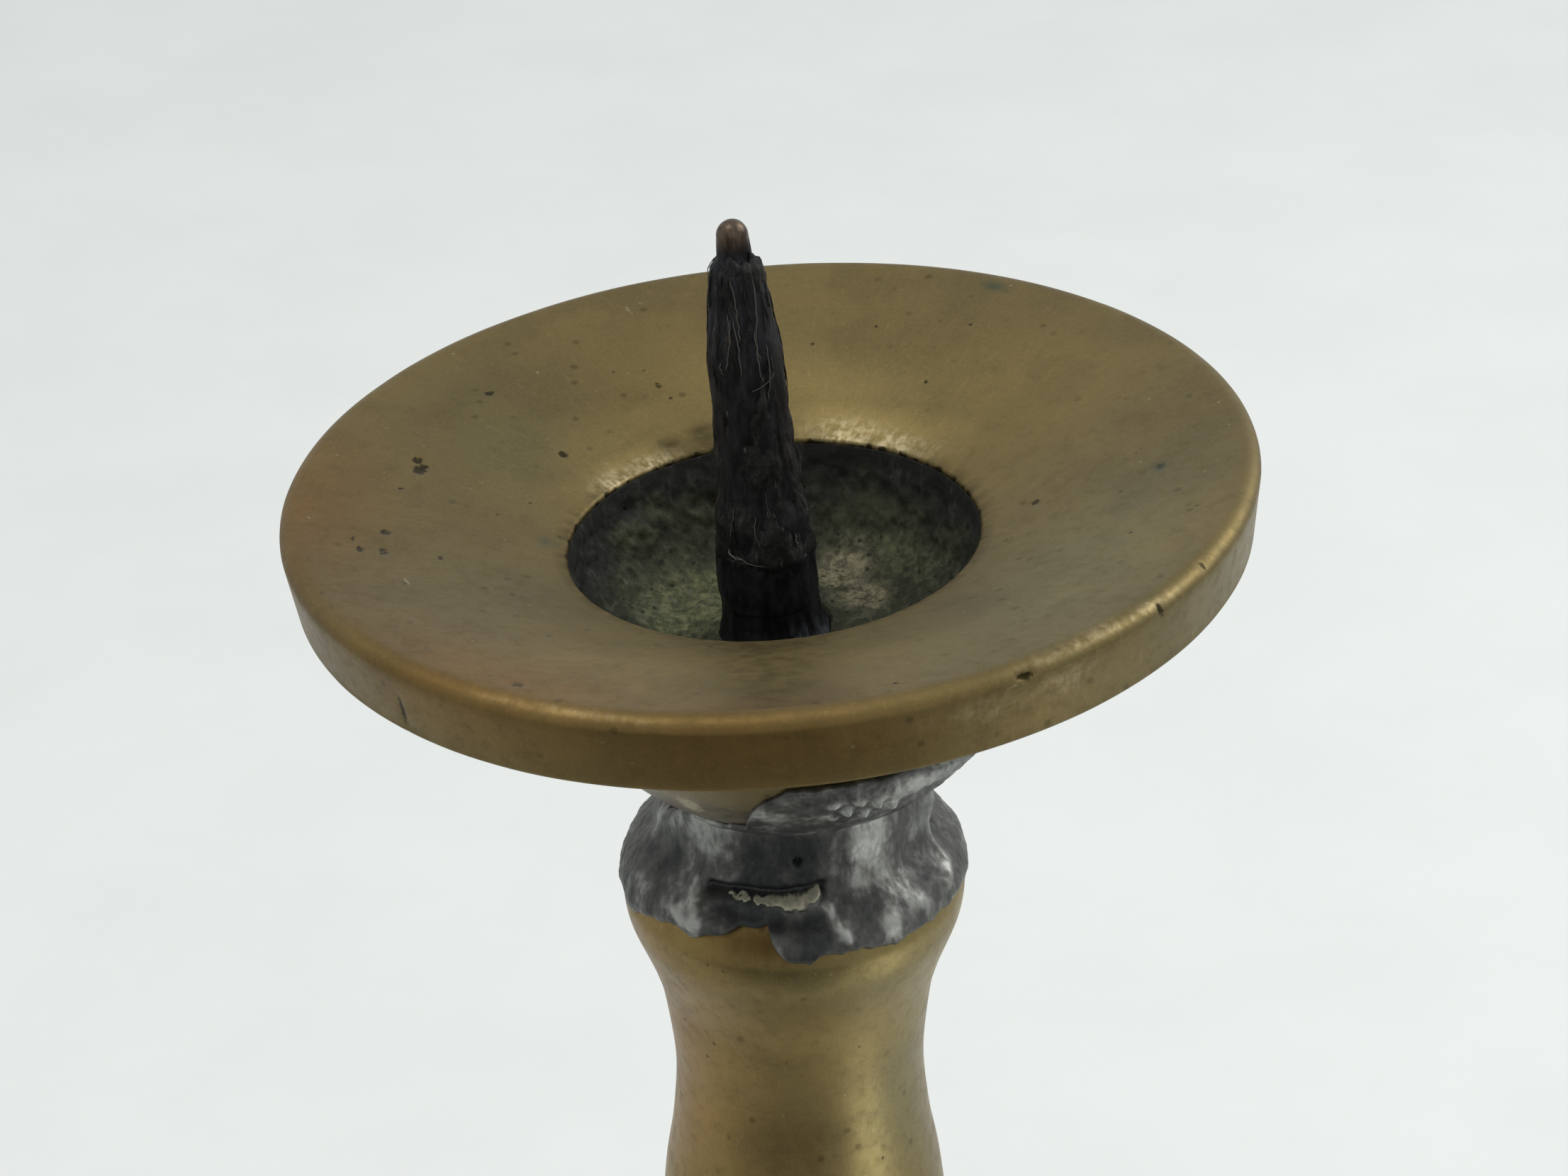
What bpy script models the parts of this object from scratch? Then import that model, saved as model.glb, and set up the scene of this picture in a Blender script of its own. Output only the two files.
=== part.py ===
"""Altar candlestick: a turned brass drip pan with an iron pricket, soldered a little crooked onto a
built-up brass stem, which an iron tie rod clamps to a domed base on three bun feet.

The file is a Blender 4.5 script. Sizes below are in millimetres and become metres when a mesh is made.
+Z is up, and the origin is on the floor, on the stem's axis. The candlestick's front faces -Y.
"""

import math

import bmesh
import bpy
from mathutils import Matrix, Vector

MM = 0.001
GAP = 0.3  # left between pieces that touch
MERGE_DISTANCE = 0.00001  # metres

# Driving dimensions.
PAN_RADIUS = 40.25
RIM_HEIGHT = 6.5
BASE_RADIUS = 60.0
FOOT_HEIGHT = 12.0
FLANGE_TOP = FOOT_HEIGHT + RIM_HEIGHT
BASE_TOP = 56.0
PAN_LEAN = math.radians(2.9)  # the repaired pan leans towards -X
PRICKET_LEAN = math.radians(0.6)  # further than the pan

# Drip pan, measured down from its rim plane.
LIP_RADIUS = 17.2
LIP_DEPTH = 7.0
CUP_DEPTH = 17.0
CUP_FLOOR_RADIUS = 8.5
SPOTFACE_RADIUS = 6.7
SPOTFACE_DEPTH = 0.4  # below the cup's floor
BOSS_RADIUS = 21.1
BOSS_CENTRE_DEPTH = 10.5
NECK_RADIUS = 10.9
NECK_DEPTH = 33.2
TENON_RADIUS = 7.2
TENON_DEPTH = 41.0
TANG_BORE = 3.0
LEAN_PIVOT_DEPTH = 22.0

# Stem, in the order of the stack.
COLLAR_HEIGHT = 4.0
BASE_COLLAR_HEIGHT = 5.0
LOWER_STEM_LENGTH = 66.4
KNOP_HEIGHT = 24.0
UPPER_STEM_LENGTH = 65.3
SPIGOT_RADIUS = 6.0
SPIGOT_HEIGHT = 2.5
SOCKET_RADIUS = 8.7
SOCKET_DEPTH = 8.0
STEM_TO_RIM_PLANE = 35.8
SOLDER_THICKNESS = 0.8  # under the pan's bowl
KNOP_POINTS = 9  # of the upper stem's outline, down to the underside of its knop

# Ironwork.
ROD_RADIUS = 3.0
ROD_BORE = 3.4
ROD_TOP_BELOW_STEM_TOP = 13.0
WASHER_RADIUS = 12.0
WASHER_HEIGHT = 2.0
NUT_SIDE = 11.0
NUT_HEIGHT = 6.0
ROD_BELOW_NUT = 3.0
WASHER_SEAT = 47.0
PRICKET_OFFSET = -0.7
PRICKET_FOOT_RADIUS = 5.6
TANG_RADIUS = 2.2

# Feet.
FOOT_CIRCLE = 50.0
FOOT_ANGLES = (90, 210, 330)
STUD_RADIUS = 2.0
STUD_BORE = 2.3
STUD_HOLE_DEPTH = 4.0

# Heights above the floor that the stack gives.
BASE_COLLAR_BOTTOM = BASE_TOP + GAP
LOWER_STEM_BOTTOM = BASE_COLLAR_BOTTOM + BASE_COLLAR_HEIGHT + GAP
LOWER_COLLAR_BOTTOM = LOWER_STEM_BOTTOM + LOWER_STEM_LENGTH + GAP
KNOP_BOTTOM = LOWER_COLLAR_BOTTOM + COLLAR_HEIGHT + GAP
UPPER_COLLAR_BOTTOM = KNOP_BOTTOM + KNOP_HEIGHT + GAP
UPPER_STEM_BOTTOM = UPPER_COLLAR_BOTTOM + COLLAR_HEIGHT + GAP
UPPER_STEM_TOP = UPPER_STEM_BOTTOM + UPPER_STEM_LENGTH
RIM_PLANE = UPPER_STEM_TOP + STEM_TO_RIM_PLANE


# Outlines: lists of (radius, height) in millimetres.


def smooth(points, per_span=2):
    """A Catmull-Rom curve through the points, which keeps its first and last points."""
    padded = [points[0], *points, points[-1]]
    curve = []
    for before, start, end, after in zip(padded, padded[1:], padded[2:], padded[3:]):
        for step in range(per_span):
            t = step / per_span
            curve.append(
                tuple(
                    0.5
                    * (
                        2 * b
                        + (c - a) * t
                        + (2 * a - 5 * b + 4 * c - d) * t**2
                        + (3 * b - a - 3 * c + d) * t**3
                    )
                    for a, b, c, d in zip(before, start, end, after)
                )
            )
    return [*curve, points[-1]]


def arc(centre, radii, first, last, count):
    """Points on an ellipse from angle first to angle last, in degrees from the outward horizontal."""
    angles = [math.radians(first + (last - first) * i / count) for i in range(count + 1)]
    return [(centre[0] + radii[0] * math.cos(a), centre[1] + radii[1] * math.sin(a)) for a in angles]


def raised(outline, height):
    return [(radius, z + height) for radius, z in outline]


def swelled(outline, distance):
    """The outline moved outwards along its own normals. It runs down the outside of a turned piece."""
    moved = []
    for i, (radius, z) in enumerate(outline):
        before, after = outline[max(i - 1, 0)], outline[min(i + 1, len(outline) - 1)]
        normal = Vector((before[1] - after[1], after[0] - before[0])).normalized()
        moved.append((radius + distance * normal.x, z + distance * normal.y))
    return moved


# Objects.


def collection(name):
    made = bpy.data.collections.new(name)
    bpy.context.scene.collection.children.link(made)
    return made


def material(name, colour, roughness, metallic):
    made = bpy.data.materials.new(name)
    made.use_nodes = True
    shader = made.node_tree.nodes["Principled BSDF"]
    shader.inputs["Base Color"].default_value = (*colour, 1.0)
    shader.inputs["Roughness"].default_value = roughness
    shader.inputs["Metallic"].default_value = metallic
    return made


def add_object(name, mesh, finish, group):
    made = bpy.data.objects.new(name, mesh)
    mesh.materials.append(finish)
    group.objects.link(made)
    return made


def turned(name, outline, finish, group, steps, closed=True):
    """A turned piece. Its outline runs down the outside; a closed one returns up the bore."""
    mesh = bpy.data.meshes.new(name)
    vertices = [(radius * MM, 0.0, z * MM) for radius, z in outline]
    edges = [(i, i + 1) for i in range(len(outline) - 1)]
    if closed:
        edges.append((len(outline) - 1, 0))
    mesh.from_pydata(vertices, edges, [])
    made = add_object(name, mesh, finish, group)
    screw = made.modifiers.new("Turn", "SCREW")
    screw.axis = "Z"
    screw.angle = math.tau
    screw.steps = steps
    screw.render_steps = steps
    screw.use_smooth_shade = True
    screw.use_merge_vertices = True
    screw.merge_threshold = MERGE_DISTANCE
    return made


def cylinder(name, radius, bottom, top, finish, group, steps=16):
    """A plain round bar standing on +Z, with its ends at the given heights."""
    mesh = bpy.data.meshes.new(name)
    body = bmesh.new()
    bmesh.ops.create_cone(
        body,
        cap_ends=True,
        segments=steps,
        radius1=radius * MM,
        radius2=radius * MM,
        depth=(top - bottom) * MM,
        matrix=Matrix.Translation((0, 0, (top + bottom) / 2 * MM)),
    )
    body.to_mesh(mesh)
    body.free()
    mesh.shade_smooth()
    mesh.set_sharp_from_angle(angle=math.radians(40))
    return add_object(name, mesh, finish, group)


def cut(piece, cutter):
    """Takes the cutter away from the piece."""
    cutter.hide_render = True
    cutter.display_type = "WIRE"
    difference = piece.modifiers.new("Cut " + cutter.name, "BOOLEAN")
    difference.operation = "DIFFERENCE"
    difference.object = cutter


# Turned brass.


def boss():
    """The outside of the bowl under the pan and of its neck, down to the neck's shoulder."""
    end = -math.degrees(math.acos(NECK_RADIUS / BOSS_RADIUS))
    bowl = arc((0.0, -BOSS_CENTRE_DEPTH), (BOSS_RADIUS, BOSS_RADIUS), -6, end, 6)
    return [*bowl, (NECK_RADIUS, -NECK_DEPTH)]


def drip_pan(finish, group):
    """The pan: a thick rim, a shallow dish, a deep cup round the pricket, and a bowl underneath.

    A shallow spotface in the cup's floor takes the pricket's foot, and the flat ring round it takes
    the candle's.
    """
    rim = [
        *arc((PAN_RADIUS - 0.7, -0.7), (0.7, 0.7), 90, 0, 2),
        *arc((PAN_RADIUS - 1.1, -RIM_HEIGHT + 0.5), (0.5, 0.5), 0, -90, 1),
    ]
    under = [(36.6, -6.5), (34.6, -5.7), (30.0, -6.2), (26.0, -7.8), (23.4, -9.9)]
    tenon = [
        (TENON_RADIUS, -NECK_DEPTH),
        (TENON_RADIUS, -TENON_DEPTH),
        (TANG_BORE, -TENON_DEPTH),
        (TANG_BORE, -CUP_DEPTH - SPOTFACE_DEPTH),
        (SPOTFACE_RADIUS, -CUP_DEPTH - SPOTFACE_DEPTH),
        (SPOTFACE_RADIUS, -CUP_DEPTH),
    ]
    cup_radii = (LIP_RADIUS - CUP_FLOOR_RADIUS, CUP_DEPTH - LIP_DEPTH)
    cup = arc((CUP_FLOOR_RADIUS, -LIP_DEPTH), cup_radii, -90, 0, 5)
    lip = [(17.5, -6.45), (18.6, -6.05)]
    dish = [(22.0, -4.8), (28.0, -2.75), (34.0, -1.1), (38.5, -0.05)]
    outline = [*rim, *under, *boss(), *tenon, *cup, *lip, *smooth(dish)]
    return turned("drip_pan", outline, finish, group, 40)


def knop_and_stem():
    """The outside of the upper stem, down from its top: a knop, a waist and a long swelling."""
    knop = [(11.9, 0.0), (13.0, -0.9), (13.95, -2.9), (14.35, -5.0), (14.6, -6.4), (14.4, -8.0)]
    waist = [(13.6, -10.3), (12.8, -12.6), (11.87, -16.0), (11.13, -23.2), (11.6, -30.0), (12.6, -36.2)]
    swelling = [(13.13, -44.2), (12.2, -53.0), (10.2, -60.0), (10.0, -61.6)]
    return smooth([*knop, *waist, *swelling])


def upper_stem(finish, group):
    """The length under the pan. Its top is sunk for the pan's tenon."""
    foot = [(11.8, -62.4), (11.8, -UPPER_STEM_LENGTH)]
    rod_hole_top = -ROD_TOP_BELOW_STEM_TOP + 1.0
    socket = [(0.0, -SOCKET_DEPTH), (SOCKET_RADIUS, -SOCKET_DEPTH), (SOCKET_RADIUS, 0.0)]
    bore = [(ROD_BORE, rod_hole_top), (0.0, rod_hole_top)]
    outline = [*socket, *knop_and_stem(), *foot, *spigot_recess(-UPPER_STEM_LENGTH), *bore]
    return turned("upper_stem", raised(outline, UPPER_STEM_TOP), finish, group, 32, closed=False)


def spigot(height, collar_height):
    """The raised step on a piece's top that centres the collar and the piece above, up to its bore."""
    top = height + collar_height + 2 * GAP + SPIGOT_HEIGHT
    return [(ROD_BORE, top), (SPIGOT_RADIUS, top), (SPIGOT_RADIUS, height)]


def spigot_recess(height):
    """The recess in a piece's bottom that takes the spigot under it, in to its bore."""
    top = height + SPIGOT_HEIGHT + GAP
    radius = SPIGOT_RADIUS + GAP
    return [(radius, height), (radius, top), (ROD_BORE, top)]


def collar(name, radius, height, bottom, finish, group):
    """A disc between two lengths of the stem, with a rounded edge."""
    edge = arc((radius - height / 2, height / 2), (height / 2, height / 2), 90, -90, 4)
    hole = SPIGOT_RADIUS + GAP
    outline = raised([*edge, (hole, 0.0), (hole, height)], bottom)
    return turned(name, outline, finish, group, 28)


def middle_knop(finish, group):
    """The large oblate knop halfway up, between two fillets."""
    half = KNOP_HEIGHT / 2
    ball = arc((10.0, 0.0), (12.0, 9.0), 76, -76, 8)
    body = [(12.2, half), (12.2, half - 1.8), *ball, (12.2, -half + 1.8), (12.2, -half)]
    outline = [*spigot(half, COLLAR_HEIGHT), *body, *spigot_recess(-half)]
    return turned("middle_knop", raised(outline, KNOP_BOTTOM + half), finish, group, 32)


def lower_stem(finish, group):
    """An inverted baluster: fillet, short neck, pear, long taper and a spreading foot."""
    top = LOWER_STEM_LENGTH
    fillet = [(12.2, top), (12.2, top - 2.6)]
    pear = [(9.7, top - 4.4), (10.4, top - 8.5), (14.6, top - 14.5), (16.8, top - 23.0)]
    taper = [(14.2, top - 34.0), (10.6, top - 46.0), (9.2, top - 54.0), (10.4, 6.2), (12.6, 4.0)]
    foot = [(14.2, 3.6), (14.2, 0.0)]
    body = [*fillet, *smooth([*pear, *taper]), *foot]
    outline = [*spigot(top, COLLAR_HEIGHT), *body, *spigot_recess(0.0)]
    return turned("lower_stem", raised(outline, LOWER_STEM_BOTTOM), finish, group, 28)


def base_dome(finish, group):
    """The trumpet-shaped dome of the base, hollow from below, with the stem's seat on top."""
    dome_top = [(17.2, BASE_TOP), (18.0, BASE_TOP - 0.8), (18.0, BASE_TOP - 3.0)]
    trumpet = [(17.0, 52.2), (19.4, 46.0), (24.0, 38.4), (31.5, 31.0), (40.5, 25.4), (48.6, 22.6)]
    bottom = FLANGE_TOP + GAP
    edge = [(50.2, 22.0), (50.6, 21.4), (50.6, bottom), (42.6, bottom)]
    hollow = [(37.0, 22.5), (28.0, 29.6), (20.0, 38.0), (14.6, 45.4)]
    seat = [(13.6, WASHER_SEAT), (ROD_BORE, WASHER_SEAT)]
    outside = [*dome_top, *smooth(trumpet), *edge]
    outline = [*spigot(BASE_TOP, BASE_COLLAR_HEIGHT), *outside, *hollow, *seat]
    return turned("base_dome", outline, finish, group, 40)


def base_ring(finish, group, cutters):
    """The thick ring under the dome, which carries the feet. A drip channel runs round its top."""
    seat = [(43.2, FLANGE_TOP), (51.4, FLANGE_TOP)]
    channel = [(52.4, FLANGE_TOP - 0.8), (54.6, FLANGE_TOP - 1.1), (57.4, FLANGE_TOP - 0.1)]
    edge = [
        *arc((BASE_RADIUS - 0.8, FLANGE_TOP - 0.8), (0.8, 0.8), 90, 0, 2),
        *arc((BASE_RADIUS - 0.6, FOOT_HEIGHT + 0.6), (0.6, 0.6), 0, -90, 1),
    ]
    outline = [*seat, *channel, *edge, (45.0, FOOT_HEIGHT), (44.0, FOOT_HEIGHT + 1.5)]
    made = turned("base_ring", outline, finish, group, 40)
    for number, angle in enumerate(FOOT_ANGLES, 1):
        bottom, top = FOOT_HEIGHT - 1.0, FOOT_HEIGHT + STUD_HOLE_DEPTH
        hole = cylinder(f"stud_hole_{number}", STUD_BORE, bottom, top, finish, cutters, 12)
        hole.location = foot_place(angle)
        cut(made, hole)
    return made


# Feet.


def foot_place(angle):
    turn = math.radians(angle)
    return Vector((math.cos(turn), math.sin(turn), 0.0)) * FOOT_CIRCLE * MM


def bun_foot(number, angle, finish, group):
    """A turned ball with a flat sole and a short neck, bored from above for its stud."""
    top = FOOT_HEIGHT - GAP
    neck = [(6.0, top), (6.0, top - 1.2), (4.8, top - 1.8)]
    ball = arc((2.4, 5.0), (5.6, 4.9), 58, -78, 6)
    hole_floor = top - STUD_HOLE_DEPTH
    bore = [(0.0, hole_floor), (STUD_BORE, hole_floor), (STUD_BORE, top)]
    outline = [*bore, *neck, *ball, (3.2, 0.0), (0.0, 0.0)]
    made = turned(f"foot_{number}", outline, finish, group, 20, closed=False)
    made.location = foot_place(angle)
    return made


def foot_stud(number, angle, finish, group):
    """The iron pin that holds a foot in the flange."""
    bottom = FOOT_HEIGHT - STUD_HOLE_DEPTH
    top = FOOT_HEIGHT + STUD_HOLE_DEPTH - GAP
    made = cylinder(f"foot_stud_{number}", STUD_RADIUS, bottom, top, finish, group, 12)
    made.location = foot_place(angle)
    return made


# Iron.


def tie_rod(finish, group):
    bottom = WASHER_SEAT - GAP - WASHER_HEIGHT - GAP - NUT_HEIGHT - ROD_BELOW_NUT
    top = UPPER_STEM_TOP - ROD_TOP_BELOW_STEM_TOP
    return cylinder("tie_rod", ROD_RADIUS, bottom, top, finish, group)


def clamp_washer(finish, group):
    top = WASHER_SEAT - GAP
    bottom = top - WASHER_HEIGHT
    outline = [
        (WASHER_RADIUS - 0.5, top),
        (WASHER_RADIUS, top - 0.5),
        (WASHER_RADIUS, bottom),
        (ROD_BORE, bottom),
        (ROD_BORE, top),
    ]
    return turned("clamp_washer", outline, finish, group, 24)


def clamp_nut(finish, group, cutters):
    """A square hand-made nut under the washer."""
    top = WASHER_SEAT - GAP - WASHER_HEIGHT - GAP
    bottom = top - NUT_HEIGHT
    mesh = bpy.data.meshes.new("clamp_nut")
    body = bmesh.new()
    size = Matrix.Diagonal((NUT_SIDE * MM, NUT_SIDE * MM, NUT_HEIGHT * MM, 1.0))
    bmesh.ops.create_cube(body, size=1.0, matrix=Matrix.Translation((0, 0, (top + bottom) / 2 * MM)) @ size)
    body.to_mesh(mesh)
    body.free()
    made = add_object("clamp_nut", mesh, finish, group)
    bevel = made.modifiers.new("Worn edges", "BEVEL")
    bevel.width = 0.6 * MM
    bevel.segments = 1
    cut(made, cylinder("nut_bore", ROD_BORE, bottom - 1.0, top + 1.0, finish, cutters))
    return made


def pricket(finish, group):
    """The forged spike: a blunt tip, a long taper, a flared foot in the spotface, and a tang."""
    tip = arc((0.0, 37.6), (1.3, 1.4), 90, 12, 2)
    crusted = [(1.45, 35.8), (2.1, 35.0), (2.55, 30.9), (3.0, 27.6), (3.1, 22.6), (3.35, 15.0)]
    swelling = [(3.9, 12.8), (3.9, 9.6), (3.4, 8.9), (3.4, 4.4)]
    sole = GAP - SPOTFACE_DEPTH
    foot = [(4.4, 2.6), (PRICKET_FOOT_RADIUS, GAP), (PRICKET_FOOT_RADIUS, sole)]
    tang_end = CUP_DEPTH - TENON_DEPTH
    tang = [(TANG_RADIUS, sole), (TANG_RADIUS, tang_end), (0.0, tang_end)]
    outline = [*tip, *crusted, *swelling, *foot, *tang]
    return turned("pricket", outline, finish, group, 18, closed=False)


def pricket_collar(finish, group):
    """The iron ring driven over the spike's foot."""
    outline = [(3.75, 8.5), (4.3, 8.5), (4.55, 8.1), (4.5, 6.0), (4.3, 4.8), (3.75, 4.8)]
    return turned("pricket_collar", outline, finish, group, 18)


# Repair.


def solder_repair(finish, group, cutters, lean):
    """The lead-tin jacket poured round the pan's neck and over the top of the knop.

    It fills the space between the leaning pan and the upright knop, so each is cut out of it.
    """
    radius = BOSS_RADIUS + SOLDER_THICKNESS
    bowl = arc((0.0, STEM_TO_RIM_PLANE - BOSS_CENTRE_DEPTH), (radius, radius), -45, -55, 3)
    waist = [(12.1, 5.6), (11.9, 3.4), (12.2, 1.8), (13.4, 0.5)]
    over_knop = [(14.6, -1.4), (15.05, -3.4), (15.1, -4.9)]
    outline = [(9.2, bowl[0][1]), *bowl, *waist, *over_knop, (9.2, -4.9)]
    made = turned("solder_repair", raised(outline, UPPER_STEM_TOP), finish, group, 32)

    under_pan = [(0.0, -12.0), *swelled(boss(), GAP), (0.0, -NECK_DEPTH - GAP)]
    pan_cutter = turned("pan_cutter", under_pan, finish, cutters, 32, closed=False)
    pan_cutter.parent = lean
    pan_cutter.location = (0.0, 0.0, LEAN_PIVOT_DEPTH * MM)
    cut(made, pan_cutter)

    in_knop = [(0.0, GAP), *swelled(knop_and_stem()[:KNOP_POINTS], GAP)]
    in_knop.append((0.0, in_knop[-1][1]))
    outline = raised(in_knop, UPPER_STEM_TOP)
    cut(made, turned("knop_cutter", outline, finish, cutters, 32, closed=False))
    return made


def main():
    for old in list(bpy.data.objects):
        bpy.data.objects.remove(old, do_unlink=True)
    parts = collection("altar_candlestick")
    cutters = collection("cutters")

    brass = material("aged_brass", (0.30, 0.22, 0.10), 0.38, 1.0)
    iron = material("wrought_iron", (0.035, 0.032, 0.03), 0.65, 0.8)
    lead = material("lead_tin_solder", (0.32, 0.32, 0.31), 0.45, 1.0)

    base_ring(brass, parts, cutters)
    base_dome(brass, parts)
    collar("base_collar", 16.4, BASE_COLLAR_HEIGHT, BASE_COLLAR_BOTTOM, brass, parts)
    lower_stem(brass, parts)
    collar("lower_collar", 15.6, COLLAR_HEIGHT, LOWER_COLLAR_BOTTOM, brass, parts)
    middle_knop(brass, parts)
    collar("upper_collar", 14.6, COLLAR_HEIGHT, UPPER_COLLAR_BOTTOM, brass, parts)
    upper_stem(brass, parts)
    tie_rod(iron, parts)
    clamp_washer(iron, parts)
    clamp_nut(iron, parts, cutters)
    for number, angle in enumerate(FOOT_ANGLES, 1):
        bun_foot(number, angle, brass, parts)
        foot_stud(number, angle, iron, parts)

    # The pan and its pricket lean about a point in the pan's neck.
    lean = bpy.data.objects.new("pan_lean", None)
    parts.objects.link(lean)
    lean.location = (0.0, 0.0, (RIM_PLANE - LEAN_PIVOT_DEPTH) * MM)
    lean.rotation_euler = (0.0, -PAN_LEAN, 0.0)
    pan = drip_pan(brass, parts)
    pan.parent = lean
    pan.location = (0.0, 0.0, LEAN_PIVOT_DEPTH * MM)
    for piece in (pricket(iron, parts), pricket_collar(iron, parts)):
        piece.parent = lean
        piece.location = (PRICKET_OFFSET * MM, 0.0, (LEAN_PIVOT_DEPTH - CUP_DEPTH) * MM)
        piece.rotation_euler = (0.0, -PRICKET_LEAN, 0.0)
    solder_repair(lead, parts, cutters, lean)


main()
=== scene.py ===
"""Looks of the altar candlestick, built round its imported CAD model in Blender.

Sizes are in millimetres and become metres when a mesh is made. A turned piece's outline runs down
its outside and back up its inside. The stem's pieces stand where their CAD nodes do. The pan's
pieces are made upright with the plane of the pan's rim at height 0, and are then leaned over.
"""

import math
import random

import bmesh
import bpy
import numpy as np
from mathutils import Matrix, Vector, noise


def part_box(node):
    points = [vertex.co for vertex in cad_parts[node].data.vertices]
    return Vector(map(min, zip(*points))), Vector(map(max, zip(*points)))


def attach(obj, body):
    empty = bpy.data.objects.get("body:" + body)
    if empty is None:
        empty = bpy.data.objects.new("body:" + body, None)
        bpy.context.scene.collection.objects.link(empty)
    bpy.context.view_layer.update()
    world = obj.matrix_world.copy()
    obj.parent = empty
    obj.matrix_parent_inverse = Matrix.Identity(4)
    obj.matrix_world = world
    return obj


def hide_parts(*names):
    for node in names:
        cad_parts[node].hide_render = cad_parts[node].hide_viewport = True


MM = 0.001

# The shape that the CAD model has too.
PAN_RADIUS = 40.25
RIM_HEIGHT = 6.5
CUP_DEPTH = 17.0
CUP_FLOOR_RADIUS = 8.5
LIP_RADIUS = 17.2
LIP_DEPTH = 7.0
BOSS_RADIUS = 21.1
BOSS_CENTRE_DEPTH = 10.5
NECK_RADIUS = 10.9
NECK_DEPTH = 33.2
STEM_TO_RIM_PLANE = 35.8
LEAN_PIVOT_DEPTH = 22.0
PAN_LEAN = math.radians(2.9)
PRICKET_LEAN = math.radians(0.6)
PRICKET_OFFSET = -0.7
ROD_BORE = 3.4
SPIGOT_RADIUS = 6.0
SPIGOT_HEIGHT = 2.5
GAP = 0.3

# The curve of the cup's wall.
CUP_CENTRE = (CUP_FLOOR_RADIUS, -LIP_DEPTH)
CUP_RADII = (LIP_RADIUS - CUP_FLOOR_RADIUS, CUP_DEPTH - LIP_DEPTH)

# The small rounding of edges, which only the visual model has.
EDGE = 0.3

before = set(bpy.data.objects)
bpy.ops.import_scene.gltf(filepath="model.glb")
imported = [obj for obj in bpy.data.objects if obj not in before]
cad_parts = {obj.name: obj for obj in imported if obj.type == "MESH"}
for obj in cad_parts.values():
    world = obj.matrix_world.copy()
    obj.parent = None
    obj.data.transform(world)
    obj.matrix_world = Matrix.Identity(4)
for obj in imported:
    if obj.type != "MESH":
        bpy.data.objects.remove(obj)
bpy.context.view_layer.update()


def low(node):
    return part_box(node)[0].z / MM


def high(node):
    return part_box(node)[1].z / MM


STEM_TOP = high("upper_stem")
RIM_PLANE = STEM_TOP + STEM_TO_RIM_PLANE


# Outlines: lists of (radius, height).


def smooth(points, per_span=6):
    """A Catmull-Rom curve through the points, which keeps its first and last points."""
    padded = [points[0], *points, points[-1]]
    curve = []
    for before, start, end, after in zip(padded, padded[1:], padded[2:], padded[3:]):
        a, b, c, d = (Vector(point) for point in (before, start, end, after))
        for step in range(per_span):
            t = step / per_span
            bend = (2 * a - 5 * b + 4 * c - d) * t**2 + (3 * b - a - 3 * c + d) * t**3
            curve.append(tuple(b + (c - a) * t / 2 + bend / 2))
    return [*curve, points[-1]]


def arc(centre, radii, first, last, count):
    """Points on an ellipse from angle first to angle last, in degrees from the outward horizontal."""
    angles = [math.radians(first + (last - first) * i / count) for i in range(count + 1)]
    return [(centre[0] + radii[0] * math.cos(a), centre[1] + radii[1] * math.sin(a)) for a in angles]


def raised(outline, height):
    return [(radius, z + height) for radius, z in outline]


def fine(outline, step, closed=True):
    """The outline with points added, so that none are further apart than step."""
    made = []
    for start, end in zip(outline, [*outline[1:], outline[0]] if closed else outline[1:]):
        start, end = Vector(start), Vector(end)
        count = max(1, math.ceil((end - start).length / step))
        made += [tuple(start.lerp(end, i / count)) for i in range(count)]
    return made if closed else [*made, outline[-1]]


def edges_and_recesses(points, reach=0.45):
    """For each point of a closed outline, how much it lies on an edge and in a recess, from 0 to 1."""
    ahead = np.roll(points, -1, 0) - points
    behind = np.roll(ahead, 1, 0)
    turn = np.arctan2(behind[:, 1] * ahead[:, 0] - behind[:, 0] * ahead[:, 1], (ahead * behind).sum(1))
    run = np.concatenate([[0], np.cumsum(np.linalg.norm(ahead, axis=1))])
    apart = np.abs(run[:-1, None] - run[None, :-1])
    apart = np.minimum(apart, run[-1] - apart)
    turn = (turn[None, :] * np.exp(-((apart / reach) ** 2))).sum(1)
    return np.clip(turn, 0, 1), np.clip(-turn, 0, 1), run[:-1]


# Meshes.


def lumps(points, size, octaves=3, seed=0):
    """Fractal noise at each point, about -1 to 1. size is one length, or one for each axis."""
    shift = Vector((seed * 7.3, seed * 3.1, seed * 5.7))
    scaled = points / np.array(size)
    return np.array([noise.fractal(Vector(p) + shift, 1.0, 2.0, octaves) for p in scaled])


def around(points):
    """Each point's azimuth in degrees, and its distance from the axis."""
    return np.degrees(np.arctan2(points[:, 1], points[:, 0])), np.hypot(points[:, 0], points[:, 1])


def spot(points, azimuth, radius, height, across, along):
    """1 at a place on a turned surface, falling to 0 around it over across, sideways, and along."""
    turn = math.radians(azimuth)
    offset = points - np.array([radius * math.cos(turn), radius * math.sin(turn), height])
    sideways = offset @ np.array([-math.sin(turn), math.cos(turn), 0.0])
    rest = np.linalg.norm(offset, axis=1) ** 2 - sideways**2
    return np.exp(-((sideways / across) ** 2) - rest / along**2)


def link(name, data):
    made = bpy.data.objects.new(name, data)
    bpy.context.scene.collection.objects.link(made)
    return made


def add_piece(name, mesh, finish, slot, *nodes):
    mesh.shade_smooth()
    mesh.materials.append(finish)
    piece = link(name, mesh)
    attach(piece, "root")
    if nodes:
        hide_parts(*nodes)


def set_values(mesh, **values):
    """Adds each array as an attribute of the mesh's vertices, for its material to read."""
    for name, array in values.items():
        kind = "FLOAT" if array.ndim == 1 else "FLOAT_VECTOR"
        made = mesh.attributes.new(name, kind, "POINT")
        made.data.foreach_set("value" if array.ndim == 1 else "vector", array.astype(np.float32).ravel())


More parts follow.
